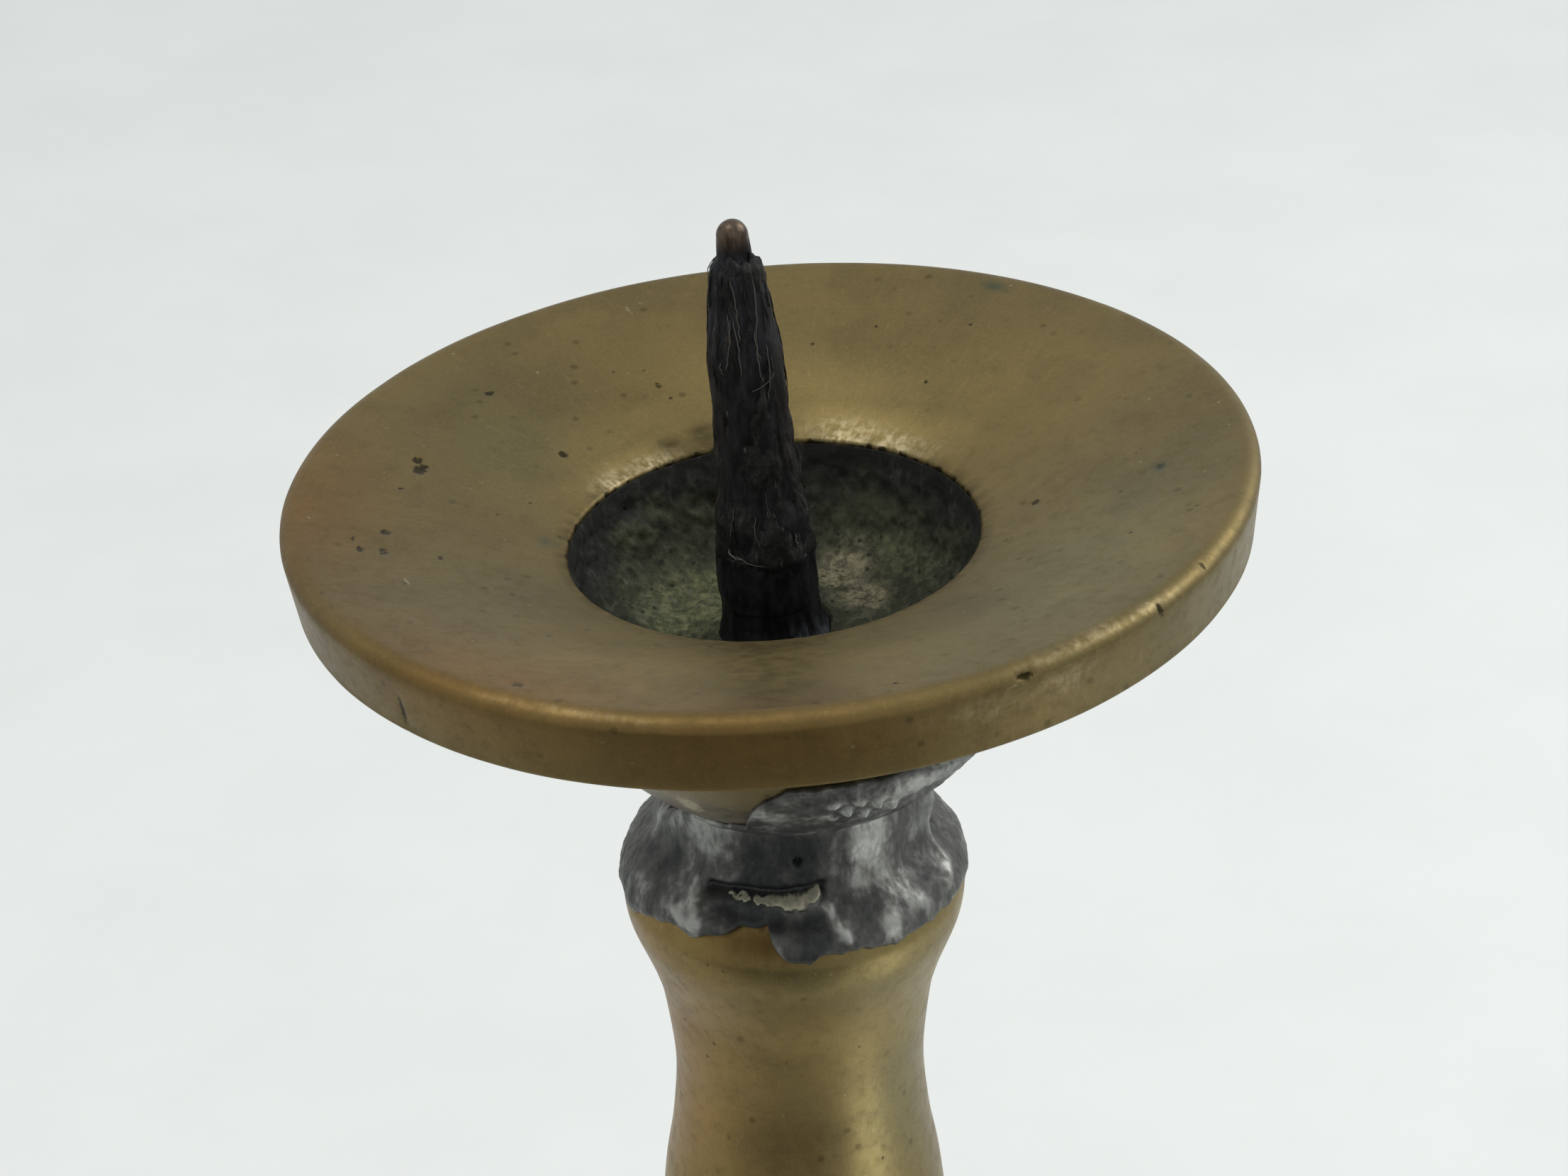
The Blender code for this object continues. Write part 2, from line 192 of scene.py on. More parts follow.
def ring_faces(rows, columns, closed=True):
    """The faces between rows of points that go round. If closed, the last row joins the first."""
    row, column = np.meshgrid(np.arange(rows if closed else rows - 1), np.arange(columns), indexing="ij")
    below, beside = (row + 1) % rows, (column + 1) % columns
    corners = [(row, column), (below, column), (below, beside), (row, beside)]
    return np.stack([r * columns + c for r, c in corners], -1).reshape(-1, 4).tolist()


def turned_mesh(name, outline, segments, change=None, where=None, closed=True):
    """A turned mesh. change(points, outward) returns moved points and a dict of extra attributes.

    where is the matrix that takes the finished points to their place.
    """
    points = np.array(outline)
    rows = len(points)
    edge, recess, run = edges_and_recesses(points)
    along = np.roll(points, -1, 0) - np.roll(points, 1, 0)
    along /= np.linalg.norm(along, axis=1)[:, None] + 1e-9
    angles = np.linspace(0, math.tau, segments, endpoint=False)
    turn = np.stack([np.cos(angles), np.sin(angles)], 1)

    def swept(radial, vertical):
        flat = radial[:, None, None] * turn[None]
        tall = np.broadcast_to(vertical[:, None, None], (rows, segments, 1))
        return np.concatenate([flat, tall], 2).reshape(-1, 3)

    place = swept(points[:, 0], points[:, 1])
    outward = swept(-along[:, 1], along[:, 0])
    spread = np.repeat(run, segments)
    unit = np.tile(turn, (rows, 1))
    values = {
        "edge": np.repeat(edge, segments),
        "recess": np.repeat(recess, segments),
        "turning": np.column_stack([spread, place[:, 0] * 0.04, place[:, 1] * 0.04]),
        "spoke": np.column_stack([unit[:, 0] * 20, unit[:, 1] * 20, spread * 0.15]),
    }
    if change:
        place, extra = change(place, outward)
        values.update(extra)
    if not closed:
        for pole in (place[:segments], place[-segments:]):
            pole[:] = (0.0, 0.0, pole[:, 2].mean())
    mesh = bpy.data.meshes.new(name)
    mesh.from_pydata(place * MM, [], ring_faces(rows, segments, closed))
    set_values(mesh, **values)
    if not closed:
        close_poles(mesh)
    if where is not None:
        mesh.transform(where)
    return mesh


def close_poles(mesh):
    """Joins the points that lie on the axis."""
    body = bmesh.new()
    body.from_mesh(mesh)
    axis = [v for v in body.verts if math.hypot(v.co.x, v.co.y) < 1e-3 * MM]
    bmesh.ops.remove_doubles(body, verts=axis, dist=1e-3 * MM)
    body.to_mesh(mesh)
    body.free()


def waviness(size=7.0, depth=0.02, seed=0):
    """A change for turned_mesh: the slight unevenness of hand-finished metal."""

    def change(points, outward):
        return points + outward * (lumps(points, size, 2, seed) * depth)[:, None], {}

    return change


def pan_frame():
    """Takes the pan's own millimetres, from its rim plane, to its place on the stem, in metres."""
    pivot = Matrix.Translation((0, 0, (RIM_PLANE - LEAN_PIVOT_DEPTH) * MM))
    return pivot @ Matrix.Rotation(-PAN_LEAN, 4, "Y") @ Matrix.Translation((0, 0, LEAN_PIVOT_DEPTH * MM))


def pricket_frame():
    """As pan_frame, for heights measured from the cup's floor, along the pricket."""
    foot = Matrix.Translation((PRICKET_OFFSET * MM, 0, -CUP_DEPTH * MM))
    return pan_frame() @ foot @ Matrix.Rotation(-PRICKET_LEAN, 4, "Y")


# Materials.


class Finish:
    """A material that is built up from nodes. Sizes are in millimetres.

    An amount is a number, a node's output, or the name of one of the mesh's attributes.
    """

    def __init__(self, name):
        self.material = bpy.data.materials.new(name)
        self.material.use_nodes = True
        self.tree = self.material.node_tree
        self.shader = self.tree.nodes["Principled BSDF"]
        self.place = self.add("TexCoord").outputs["Object"]

    def add(self, kind, inputs=None, **settings):
        made = self.tree.nodes.new("ShaderNode" + kind)
        for key, value in settings.items():
            setattr(made, key, value)
        for socket, value in (inputs or {}).items():
            if isinstance(value, str):
                value = self.attribute(value)
            if isinstance(value, bpy.types.NodeSocket):
                self.tree.links.new(value, made.inputs[socket])
            else:
                made.inputs[socket].default_value = value
        return made

    def noise(self, size, detail=4.0, rough=0.55, stretch=(1, 1, 1), distortion=0.0):
        """Noise whose largest lumps are size across, from about 0.3 to 0.7."""
        scaled = self.add("Mapping", {"Vector": self.place, "Scale": tuple(1 / s for s in stretch)})
        inputs = {"Vector": scaled.outputs[0], "Scale": 1 / (size * MM), "Detail": detail}
        inputs.update({"Roughness": rough, "Distortion": distortion})
        return self.add("TexNoise", inputs).outputs["Fac"]

    def lines(self, attribute, scale, detail=3.0):
        """Noise along one of the turned attributes, which gives lines round or across the piece."""
        found = self.add("Attribute", attribute_name=attribute).outputs["Vector"]
        inputs = {"Vector": found, "Scale": scale, "Detail": detail, "Roughness": 0.6}
        return self.add("TexNoise", inputs).outputs["Fac"]

    def attribute(self, name):
        return self.add("Attribute", attribute_name=name).outputs["Fac"]

    def specks(self, size, share):
        """1 in scattered specks: size is their spacing, and share how much of it one fills."""
        inputs = {"Vector": self.place, "Scale": 1 / (size * MM), "Randomness": 1.0}
        near = self.add("TexVoronoi", inputs).outputs["Distance"]
        return self.step(near, share, share * 0.4)

    def math(self, operation, a, b=0.0):
        return self.add("Math", {0: a, 1: b}, operation=operation).outputs[0]

    def step(self, value, start, end):
        """Rises smoothly from 0 to 1 as value goes from start to end."""
        inputs = {"Value": value, "From Min": start, "From Max": end}
        return self.add("MapRange", inputs, interpolation_type="SMOOTHSTEP").outputs[0]

    def blend(self, amount, first, second):
        """From one number to another, as amount goes from 0 to 1."""
        inputs = {"Value": amount, "To Min": first, "To Max": second}
        return self.add("MapRange", inputs).outputs[0]

    def mix(self, amount, first, second, blend_type="MIX"):
        """From one colour to another, as amount goes from 0 to 1."""
        made = self.add("Mix", {0: amount}, data_type="RGBA", blend_type=blend_type)
        for index, colour in ((6, first), (7, second)):
            if isinstance(colour, bpy.types.NodeSocket):
                self.tree.links.new(colour, made.inputs[index])
            else:
                made.inputs[index].default_value = (*colour, 1.0)
        return made.outputs[2]

    def tint(self, colour, *amounts, blend_type="MIX"):
        """Lays a colour over what is there, as far as the product of the amounts."""
        self.colour = self.mix(self.both(*amounts), self.colour, colour, blend_type)

    def both(self, *amounts):
        product = amounts[0]
        for amount in amounts[1:]:
            product = self.math("MULTIPLY", product, amount)
        return product

    def bump(self, height, depth, normal=None):
        inputs = {"Height": height, "Distance": depth * MM, "Strength": 1.0}
        if normal:
            inputs["Normal"] = normal
        return self.add("Bump", inputs).outputs[0]

    def finish(self, roughness, normal, metallic, specular=0.5):
        self.shader.inputs["Specular IOR Level"].default_value = specular
        for socket, value in (("Base Color", self.colour), ("Roughness", roughness), ("Normal", normal)):
            self.tree.links.new(value, self.shader.inputs[socket])
        if isinstance(metallic, bpy.types.NodeSocket):
            self.tree.links.new(metallic, self.shader.inputs["Metallic"])
        else:
            self.shader.inputs["Metallic"].default_value = metallic
        return self.material


DIRT = (0.014, 0.012, 0.008)
# What marks of these kinds multiply the brass's colour by: the first two tint the patina, the third
# brightens it as a painted highlight and glow, and the fourth darkens it as painted shade.
SHADES = {
    "warm": (1.10, 0.86, 0.68),
    "olive": (0.90, 1.02, 1.15),
    "painted_glow": (1.7, 1.66, 1.5),
    "brown": (0.46, 0.38, 0.30),
}
# Specks on the brass: spacing, share, size and limits of the patches they fill, strength, colour.
SPECKS = [
    (3.1, 0.085, 14.0, 0.5, 0.6, 0.75, DIRT),
    (2.3, 0.085, 9.0, 0.46, 0.58, 0.5, (0.36, 0.32, 0.21)),
    (2.7, 0.17, 11.0, 0.42, 0.55, 0.45, (0.05, 0.037, 0.015)),
]


def brass(name, polished, aged, tarnish, roughness):
    """Old brass: satin, with soft blotches of patina, specks, faint turning lines and worn edges, and with
    painted highlights, glow and shade where its marks lie.
    """
    made = Finish(name)
    bright = tuple(1.5 * c for c in polished)
    cloud = made.step(made.noise(22.0, 5, 0.5), 0.38, 0.62)
    blotch = made.step(made.noise(6.0, 6, 0.55), 0.42, 0.66)
    mottle = made.noise(1.3, 6, 0.6)
    grain = made.noise(0.28, 3, 0.6)
    ragged = made.blend(made.noise(0.4, 5, 0.65), -0.4, 2.4)
    turning = made.lines("turning", 2.2, 4)
    streaks = made.lines("spoke", 3.0, 4)
    made.colour = made.mix(cloud, polished, aged)
    made.tint(tarnish, blotch, 0.3)
    made.tint(tarnish, made.step(mottle, 0.5, 0.8), 0.4)
    made.tint(tarnish, made.step(turning, 0.5, 0.75), 0.12)
    made.tint(bright, made.step(streaks, 0.55, 0.75), 0.2)
    made.tint(bright, made.step(grain, 0.35, 0.75), 0.2)
    # Tints of the patina, and painted glow and painted shade, each where its mark lies.
    for kind, shade in SHADES.items():
        made.tint(shade, kind, blend_type="MULTIPLY")
    clean = made.blend("blackening", 1.0, 0.0)
    worn = made.both("edge", made.blend(mottle, -0.6, 0.7), clean)
    made.tint(polished, worn)
    # Rubbed brass, which also paints highlights on the well's lip and on the rim.
    scuffs = made.math("ADD", made.both(streaks, 0.3), made.both(made.noise(0.8, 5, 0.65), 0.7))
    rub_and_highlight = made.both("rub_and_painted_highlight", made.step(scuffs, 0.38, 0.66))
    made.tint((0.60, 0.51, 0.32), rub_and_highlight)
    dirt = made.both("recess", made.blend(mottle, 0.6, 1.4))
    made.tint(DIRT, made.step(dirt, 0.05, 0.9))
    for spacing, share, patch, start, end, strength, colour in SPECKS:
        patches = made.step(made.noise(patch, 3), start, end)
        made.tint(colour, made.specks(spacing, share), patches, strength)
    marked = made.step(made.both("mark", ragged), 0.3, 0.75)
    made.tint((0.026, 0.020, 0.009), marked, 0.94)
    made.tint(DIRT, "blackening", made.blend(mottle, 0.4, 1.2))
    made.tint((0.06, 0.075, 0.05), "green")
    dust = made.both("dust", made.blend(mottle, 0.5, 1.3))
    made.tint((0.20, 0.17, 0.115), dust)
    pale = made.step(made.both("pale", ragged), 0.3, 0.85)
    made.tint((0.42, 0.38, 0.27), pale, 0.7)
    rough = made.blend(made.step(mottle, 0.35, 0.7), roughness - 0.03, roughness + 0.06)
    rough = made.math("ADD", rough, made.both("edge", 0.12))
    rough = made.math("SUBTRACT", rough, made.both(rub_and_highlight, 0.12))
    normal = made.bump(turning, 0.006)
    normal = made.bump(mottle, 0.014, normal)
    normal = made.bump(grain, 0.003, normal)
    normal = made.bump(streaks, 0.006, normal)
    return made.finish(rough, normal, made.blend(dust, 1.0, 0.15))


def iron():
    """Forged iron with brown-black scale and a little rust."""
    made = Finish("wrought_iron")
    scale = made.noise(2.5, 6, 0.65)
    rust = made.step(made.noise(6.0, 5, 0.6), 0.52, 0.66)
    made.colour = made.mix(made.step(scale, 0.35, 0.65), (0.022, 0.021, 0.020), (0.060, 0.055, 0.050))
    made.tint((0.10, 0.042, 0.020), rust, 0.7)
    rough = made.blend(scale, 0.45, 0.8)
    normal = made.bump(scale, 0.12)
    return made.finish(rough, normal, made.blend(rust, 0.9, 0.3))


def spike_iron():
    """Brown-black iron, with the bare, rubbed tip copper-brown, and painted bluish-grey highlights on the
    foot and its ring.
    """
    made = Finish("spike_iron")
    scale = made.noise(1.2, 6, 0.65, (1, 1, 3))
    bare = made.attribute("bare")
    made.colour = made.mix(made.step(scale, 0.35, 0.65), (0.008, 0.008, 0.009), (0.03, 0.031, 0.036))
    # Painted bluish-grey highlights.
    painted_blue_glint = made.both("painted_blue_glint", made.step(scale, 0.42, 0.62))
    made.tint((0.17, 0.18, 0.205), painted_blue_glint)
    copper = made.mix(made.step(scale, 0.4, 0.7), (0.036, 0.023, 0.017), (0.125, 0.092, 0.064))
    made.tint(copper, bare)
    normal = made.bump(scale, 0.08)
    return made.finish(made.blend(bare, 0.6, 0.36), normal, 0.85)


def char():
    """Burnt fibres: nearly black, with grey and brown threads."""
    made = Finish("charred_fibre")
    thread = made.noise(0.45, 4, 0.6, (1, 1, 5))
    lump = made.noise(1.6, 5, 0.6)
    brown = made.step(made.noise(2.2, 4, 0.6, (1, 1, 2)), 0.52, 0.66)
    made.colour = made.mix(made.step(lump, 0.45, 0.75), (0.0045, 0.0045, 0.0045), (0.02, 0.02, 0.018))
    made.tint((0.04, 0.04, 0.036), made.step(thread, 0.5, 0.8), 0.7)
    made.tint((0.036, 0.023, 0.015), brown, made.step(thread, 0.5, 0.75))
    made.tint((0.15, 0.145, 0.125), made.step("grain", 0.55, 1.1))
    normal = made.bump(thread, 0.10)
    normal = made.bump(lump, 0.25, normal)
    return made.finish(made.blend(thread, 0.45, 0.8), normal, 0.0, specular=0.22)


def verdigris():
    """Dark dirt, green copper salts and old wax, in crumbs."""
    made = Finish("cup_residue")
    crumb = made.noise(0.9, 8, 0.76, (1, 1, 1.8))
    patch = made.noise(3.2, 8, 0.68)
    wisp = made.noise(1.8, 5, 0.6, (1, 1, 2.5), 1.5)
    streaklets = made.noise(1.0, 5, 0.65, (1, 1, 4.0))
    made.colour = made.mix(made.step(patch, 0.36, 0.62), (0.011, 0.012, 0.010), (0.044, 0.046, 0.027))
    olive = made.mix(made.step(crumb, 0.4, 0.7), (0.03, 0.032, 0.019), (0.075, 0.08, 0.048))
    made.tint(olive, "wisps", made.blend(patch, 0.2, 1.2))
    green = made.mix(made.step(crumb, 0.38, 0.66), (0.044, 0.048, 0.026), (0.15, 0.155, 0.078))
    cream = made.mix(made.step(crumb, 0.38, 0.64), (0.07, 0.066, 0.040), (0.29, 0.26, 0.165))
    spread = made.both(made.blend(patch, 0.0, 2.0), made.blend(wisp, 0.4, 1.6))
    greened = made.both("green", spread)
    creamed = made.both("cream", spread)
    made.tint(green, made.step(greened, 0.10, 0.75))
    made.tint(cream, made.step(creamed, 0.10, 0.75))
    wisps = made.both(made.step(wisp, 0.56, 0.72), "wisps")
    made.tint((0.085, 0.083, 0.056), wisps)
    made.tint((0.008, 0.008, 0.007), made.specks(1.4, 0.2), 0.8)
    # Darker where the blackening attribute is: towards the top of the cup's wall.
    blackened_colour = made.mix(made.step(streaklets, 0.5, 0.75), (0.014, 0.0145, 0.013), (0.046, 0.048, 0.040))
    made.tint(blackened_colour, "blackening", 0.95)
    normal = made.bump(crumb, 0.12)
    normal = made.bump(patch, 0.25, normal)
    return made.finish(made.blend(crumb, 0.5, 0.85), normal, 0.0, specular=0.12)


def solder():
    """Lead-tin solder: grey, dull and dark where it has oxidised; its tone also holds painted highlights on
    ridges and lumps and painted shade in hollows and the slit.
    """
    made = Finish("lead_tin_solder")
    grit = made.noise(0.6, 5, 0.6, (1, 1, 1.8))
    streak = made.noise(1.6, 5, 0.6, (1, 1, 3.5))
    tone = made.math("ADD", "tone", made.blend(grit, -0.22, 0.22))
    tone = made.math("ADD", tone, made.blend(streak, -0.35, 0.35))
    made.colour = made.mix(made.step(tone, -0.1, 0.6), (0.026, 0.029, 0.029), (0.088, 0.088, 0.081))
    # The lightest tone is partly the solder's own, partly painted highlight on ridges and lumps.
    made.tint((0.30, 0.305, 0.285), made.step(tone, 0.42, 1.0))
    bare = made.step(made.math("ADD", "bare", made.blend(grit, -0.3, 0.3)), 0.3, 0.7)
    made.tint(made.mix(grit, (0.17, 0.165, 0.12), (0.42, 0.40, 0.30)), bare)
    rough = made.blend(made.step(tone, 0.0, 1.0), 0.52, 0.46)
    normal = made.bump(grit, 0.05)
    normal = made.bump(streak, 0.08, normal)
    return made.finish(rough, normal, made.blend(bare, 0.75, 0.2))


def marked(points, outward, marks):
    """Moved points and the attributes of their marks, for turned_mesh.

    marks holds, for each kind, tuples of azimuth, radius, height, across, along and amount.
    The amount is the depth of "pits", and the strength of the other kinds.
    """
    moved = points.copy()
    extra = {}
    for kind, places in marks.items():
        there = np.zeros(len(points))
        for *place, across, along, amount in places:
            near = spot(points, *place, across, along)
            if kind == "pits":
                moved -= outward * (near * amount)[:, None]
                there = np.maximum(there, np.clip(1.3 * near - 0.1, 0, 1))
            else:
                there = np.maximum(there, near * amount)
        extra["mark" if kind == "pits" else kind] = there
    return moved, extra


# Brass pieces of the stem and the base.


def small_edge(radius, height, first, last):
    """A rounded edge, as arc, whose centre is given."""
    return arc((radius, height), (EDGE, EDGE), first, last, 3)


def spigot(height, collar_height):
    """The upper end of a piece, which goes through a collar into the next piece."""
    top = height + collar_height + 2 * GAP + SPIGOT_HEIGHT
    return [(ROD_BORE, top), (SPIGOT_RADIUS, top), (SPIGOT_RADIUS, height)]


def spigot_recess(height):
    """The lower end of a piece, which takes the spigot of the piece below."""
    top = height + SPIGOT_HEIGHT + GAP
    return [(SPIGOT_RADIUS + GAP, height), (SPIGOT_RADIUS + GAP, top), (ROD_BORE, top)]


def add_turned(node, outline, segments, change, finish, where=None, closed=True, slot="brass"):
    """A turned piece that takes the place of its CAD node."""
    add_piece(node, turned_mesh(node, outline, segments, change, where, closed), finish, slot, node)


# Marks on the upper stem. Heights are measured from the stem's top.
STEM_MARKS = {
    "pits": [(-41, 12.8, -39.5, 0.35, 0.4, 0.12)],
    "pale": [(-120, 12, -29.5, 0.7, 0.9, 0.45)],
    "warm": [(-165, 12, -20, 10, 22, 1)],
    "olive": [(-40, 12, -24, 6, 9, 1), (-60, 14, -6, 8, 4, 0.5)],
    # Painted shade under the solder and on the knop's underside, partly heat tint next to the solder, and
    # painted shade on the stem's left side.
    "brown": [
        (-98, 14.2, -2.4, 9, 2.3, 1), (-125, 14, -8.5, 7, 3.2, 0.34), (-62, 14.8, -3.8, 5, 1.8, 0.25),
        (-150, 13, -14, 6, 5, 0.25),
    ],
    "blackening": [(-97, 14.2, -2.4, 3.5, 1.2, 0.5)],
}


# The knop at the stem's top, which the solder partly covers.
STEM_KNOP = [
    (11.9, 0.0), (13.0, -0.9), (14.2, -2.6), (14.85, -4.2),
    (14.9, -5.4), (14.68, -6.9), (14.25, -8.3),
]


def build_stem(finish):
    """The upper stem, with a knop, a waist and a long swelling, down to its foot."""
    waist = [(13.45, -10.4), (12.65, -12.7), (11.87, -16.0), (11.13, -23.2), (11.6, -30.0), (12.6, -36.2)]
    swelling = [(13.13, -44.2), (12.2, -53.0), (10.2, -60.0), (10.0, -61.6)]
    length = STEM_TOP - low("upper_stem")
    socket = [(ROD_BORE, -8.0), (8.7, -8.0), (8.7, 0.0)]
    foot = [*small_edge(11.5, -62.7, 90, 0), *small_edge(11.5, -length + 0.3, 0, -90)]
    outside = smooth([*STEM_KNOP, *waist, *swelling])
    outline = fine(raised([*socket, *outside, *foot, *spigot_recess(-length)], STEM_TOP), 0.6)
    top = np.array([0.0, 0.0, STEM_TOP])

    def change(points, outward):
        moved, extra = marked(points - top, outward, STEM_MARKS)
        moved += outward * (lumps(points, 9.0, 2, 3) * 0.03)[:, None]
        return moved + top, extra

    add_turned("upper_stem", outline, 320, change, finish)


def build_collar(node, radius, finish):
    bottom, height = low(node), high(node) - low(node)
    half = height / 2
    edge = arc((radius - half, half), (half, half), 90, -90, 20)
    hole = SPIGOT_RADIUS + GAP
    inside = [(hole + 0.4, 0.0), (hole, 0.4), (hole, height - 0.4)]
    outline = fine(raised([(hole + 0.4, height), *edge, *inside], bottom), 0.5)
    add_turned(node, outline, 224, waviness(4.0, 0.015, 5), finish)


def build_knop(finish):
    height, collar_height = 24.0, 4.0
    half = height / 2
    ball = arc((10.0, 0.0), (12.0, 9.0), 76, -76, 44)
    lips = [*small_edge(11.9, half - EDGE, 90, 0), (12.2, half - 1.8)]
    under = [(r, -z) for r, z in reversed(lips)]
    outline = [*spigot(half, collar_height), *lips, *ball, *under, *spigot_recess(-half)]
    outline = fine(raised(outline, low("middle_knop") + half), 0.6)
    add_turned("middle_knop", outline, 288, waviness(seed=8), finish)


def build_lower_stem(finish):
    top = 66.4
    fillet = [*small_edge(11.9, top - EDGE, 90, 0), (12.2, top - 2.6)]
    pear = [(9.7, top - 4.4), (10.4, top - 8.5), (14.6, top - 14.5), (16.8, top - 23.0)]
    taper = [(14.2, top - 34.0), (10.6, top - 46.0), (9.2, top - 54.0), (10.4, 6.2), (12.6, 4.0)]
    foot = [*small_edge(13.9, 3.3, 90, 0), *small_edge(13.9, EDGE, 0, -90)]
    outline = [*spigot(top, 4.0), *fillet, *smooth([*pear, *taper]), *foot, *spigot_recess(0.0)]
    outline = fine(raised(outline, low("lower_stem")), 0.6)
    add_turned("lower_stem", outline, 288, waviness(seed=4), finish)


def build_base(finish):
    ring_top, ring_bottom = high("base_ring"), low("base_ring")
    dome_bottom, dome_top = low("base_dome"), 56.0
    seat_edge = [*arc((17.4, dome_top - 0.6), (0.6, 0.6), 90, 0, 5), (18.0, dome_top - 3.0)]
    trumpet = [(17.0, 52.2), (19.4, 46.0), (24.0, 38.4), (31.5, 31.0), (40.5, 25.4)]
    edge = [*arc((50.2, 21.6), (0.4, 0.4), 70, 0, 4), (50.6, dome_bottom), (42.6, dome_bottom)]
    hollow = smooth([(37.0, 22.5), (28.0, 29.6), (20.0, 38.0), (14.6, 45.4)])
    inside = [(13.6, 47.0), (ROD_BORE, 47.0)]
    outside = [*seat_edge, *smooth([*trumpet, (48.6, 22.6), (50.0, 22.1)]), *edge]
    outline = fine([*spigot(dome_top, 5.0), *outside, *hollow, *inside], 0.8)
    add_turned("base_dome", outline, 360, waviness(9.0, 0.03, 6), finish)

    sinks = ((51.4, 0.0), (52.4, 0.8), (54.6, 1.1), (57.4, 0.1))
    channel = smooth([(radius, ring_top - depth) for radius, depth in sinks])
    rim = arc((59.2, ring_top - 0.8), (0.8, 0.8), 90, 0, 8)
    rim += arc((59.4, ring_bottom + 0.6), (0.6, 0.6), 0, -90, 5)
    inner = [(45.0, ring_bottom), (44.0, ring_bottom + 1.5), (43.2, ring_top)]
    outline = fine([*channel, *rim, *inner], 0.8)
    add_turned("base_ring", outline, 400, waviness(9.0, 0.03, 7), finish)


def build_feet(finish):
    for number in (1, 2, 3):
        node = f"foot_{number}"
        lowest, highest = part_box(node)
        centre = (lowest + highest) / 2
        top = highest.z / MM
        neck = [*small_edge(5.7, top - EDGE, 90, 0), (6.0, top - 1.2), (4.8, top - 1.8)]
        ball = arc((2.4, 5.0), (5.6, 4.9), 58, -78, 24)
        outline = [(2.3, top - 4.0), (2.3, top), *neck, *ball, (3.2, 0.0), (1.0, 0.0), (1.0, top - 4.0)]
        where = Matrix.Translation((centre.x, centre.y, 0.0))
        add_turned(node, fine(outline, 0.5), 128, waviness(3.0, 0.02, number), finish, where)


# The drip pan.


def pan_outline():
    rim = [
        *arc((PAN_RADIUS - 1.4, -1.15), (1.4, 1.15), 90, 0, 14),
        *arc((PAN_RADIUS - 1.1, -RIM_HEIGHT + 0.5), (0.5, 0.5), 0, -90, 5),
    ]
    under = smooth([(36.6, -6.5), (34.6, -5.7), (30.0, -6.2), (26.0, -7.8), (23.4, -9.9)], 5)
    end = -math.degrees(math.acos(NECK_RADIUS / BOSS_RADIUS))
    boss = arc((0.0, -BOSS_CENTRE_DEPTH), (BOSS_RADIUS, BOSS_RADIUS), -6, end, 26)
    neck = [(NECK_RADIUS, -NECK_DEPTH), (7.2, -NECK_DEPTH), (7.2, -41.0), (3.0, -41.0)]
    floor = [(3.0, -CUP_DEPTH - 0.4), (6.7, -CUP_DEPTH - 0.4), (6.7, -CUP_DEPTH)]
    cup = arc(CUP_CENTRE, CUP_RADII, -90, -4, 16)
    lip = arc((LIP_RADIUS + 0.5, -LIP_DEPTH), (0.5, 0.5), 180, 110, 7)
    dish = smooth([(18.6, -6.05), (22.0, -4.8), (28.0, -2.75), (34.0, -1.1), (38.45, -0.06)], 4)
    outside = fine([*rim, *under, *boss], 0.7, closed=False)
    return [*outside, *neck, *floor, *cup, *lip, *fine(dish, 0.45, closed=False)]


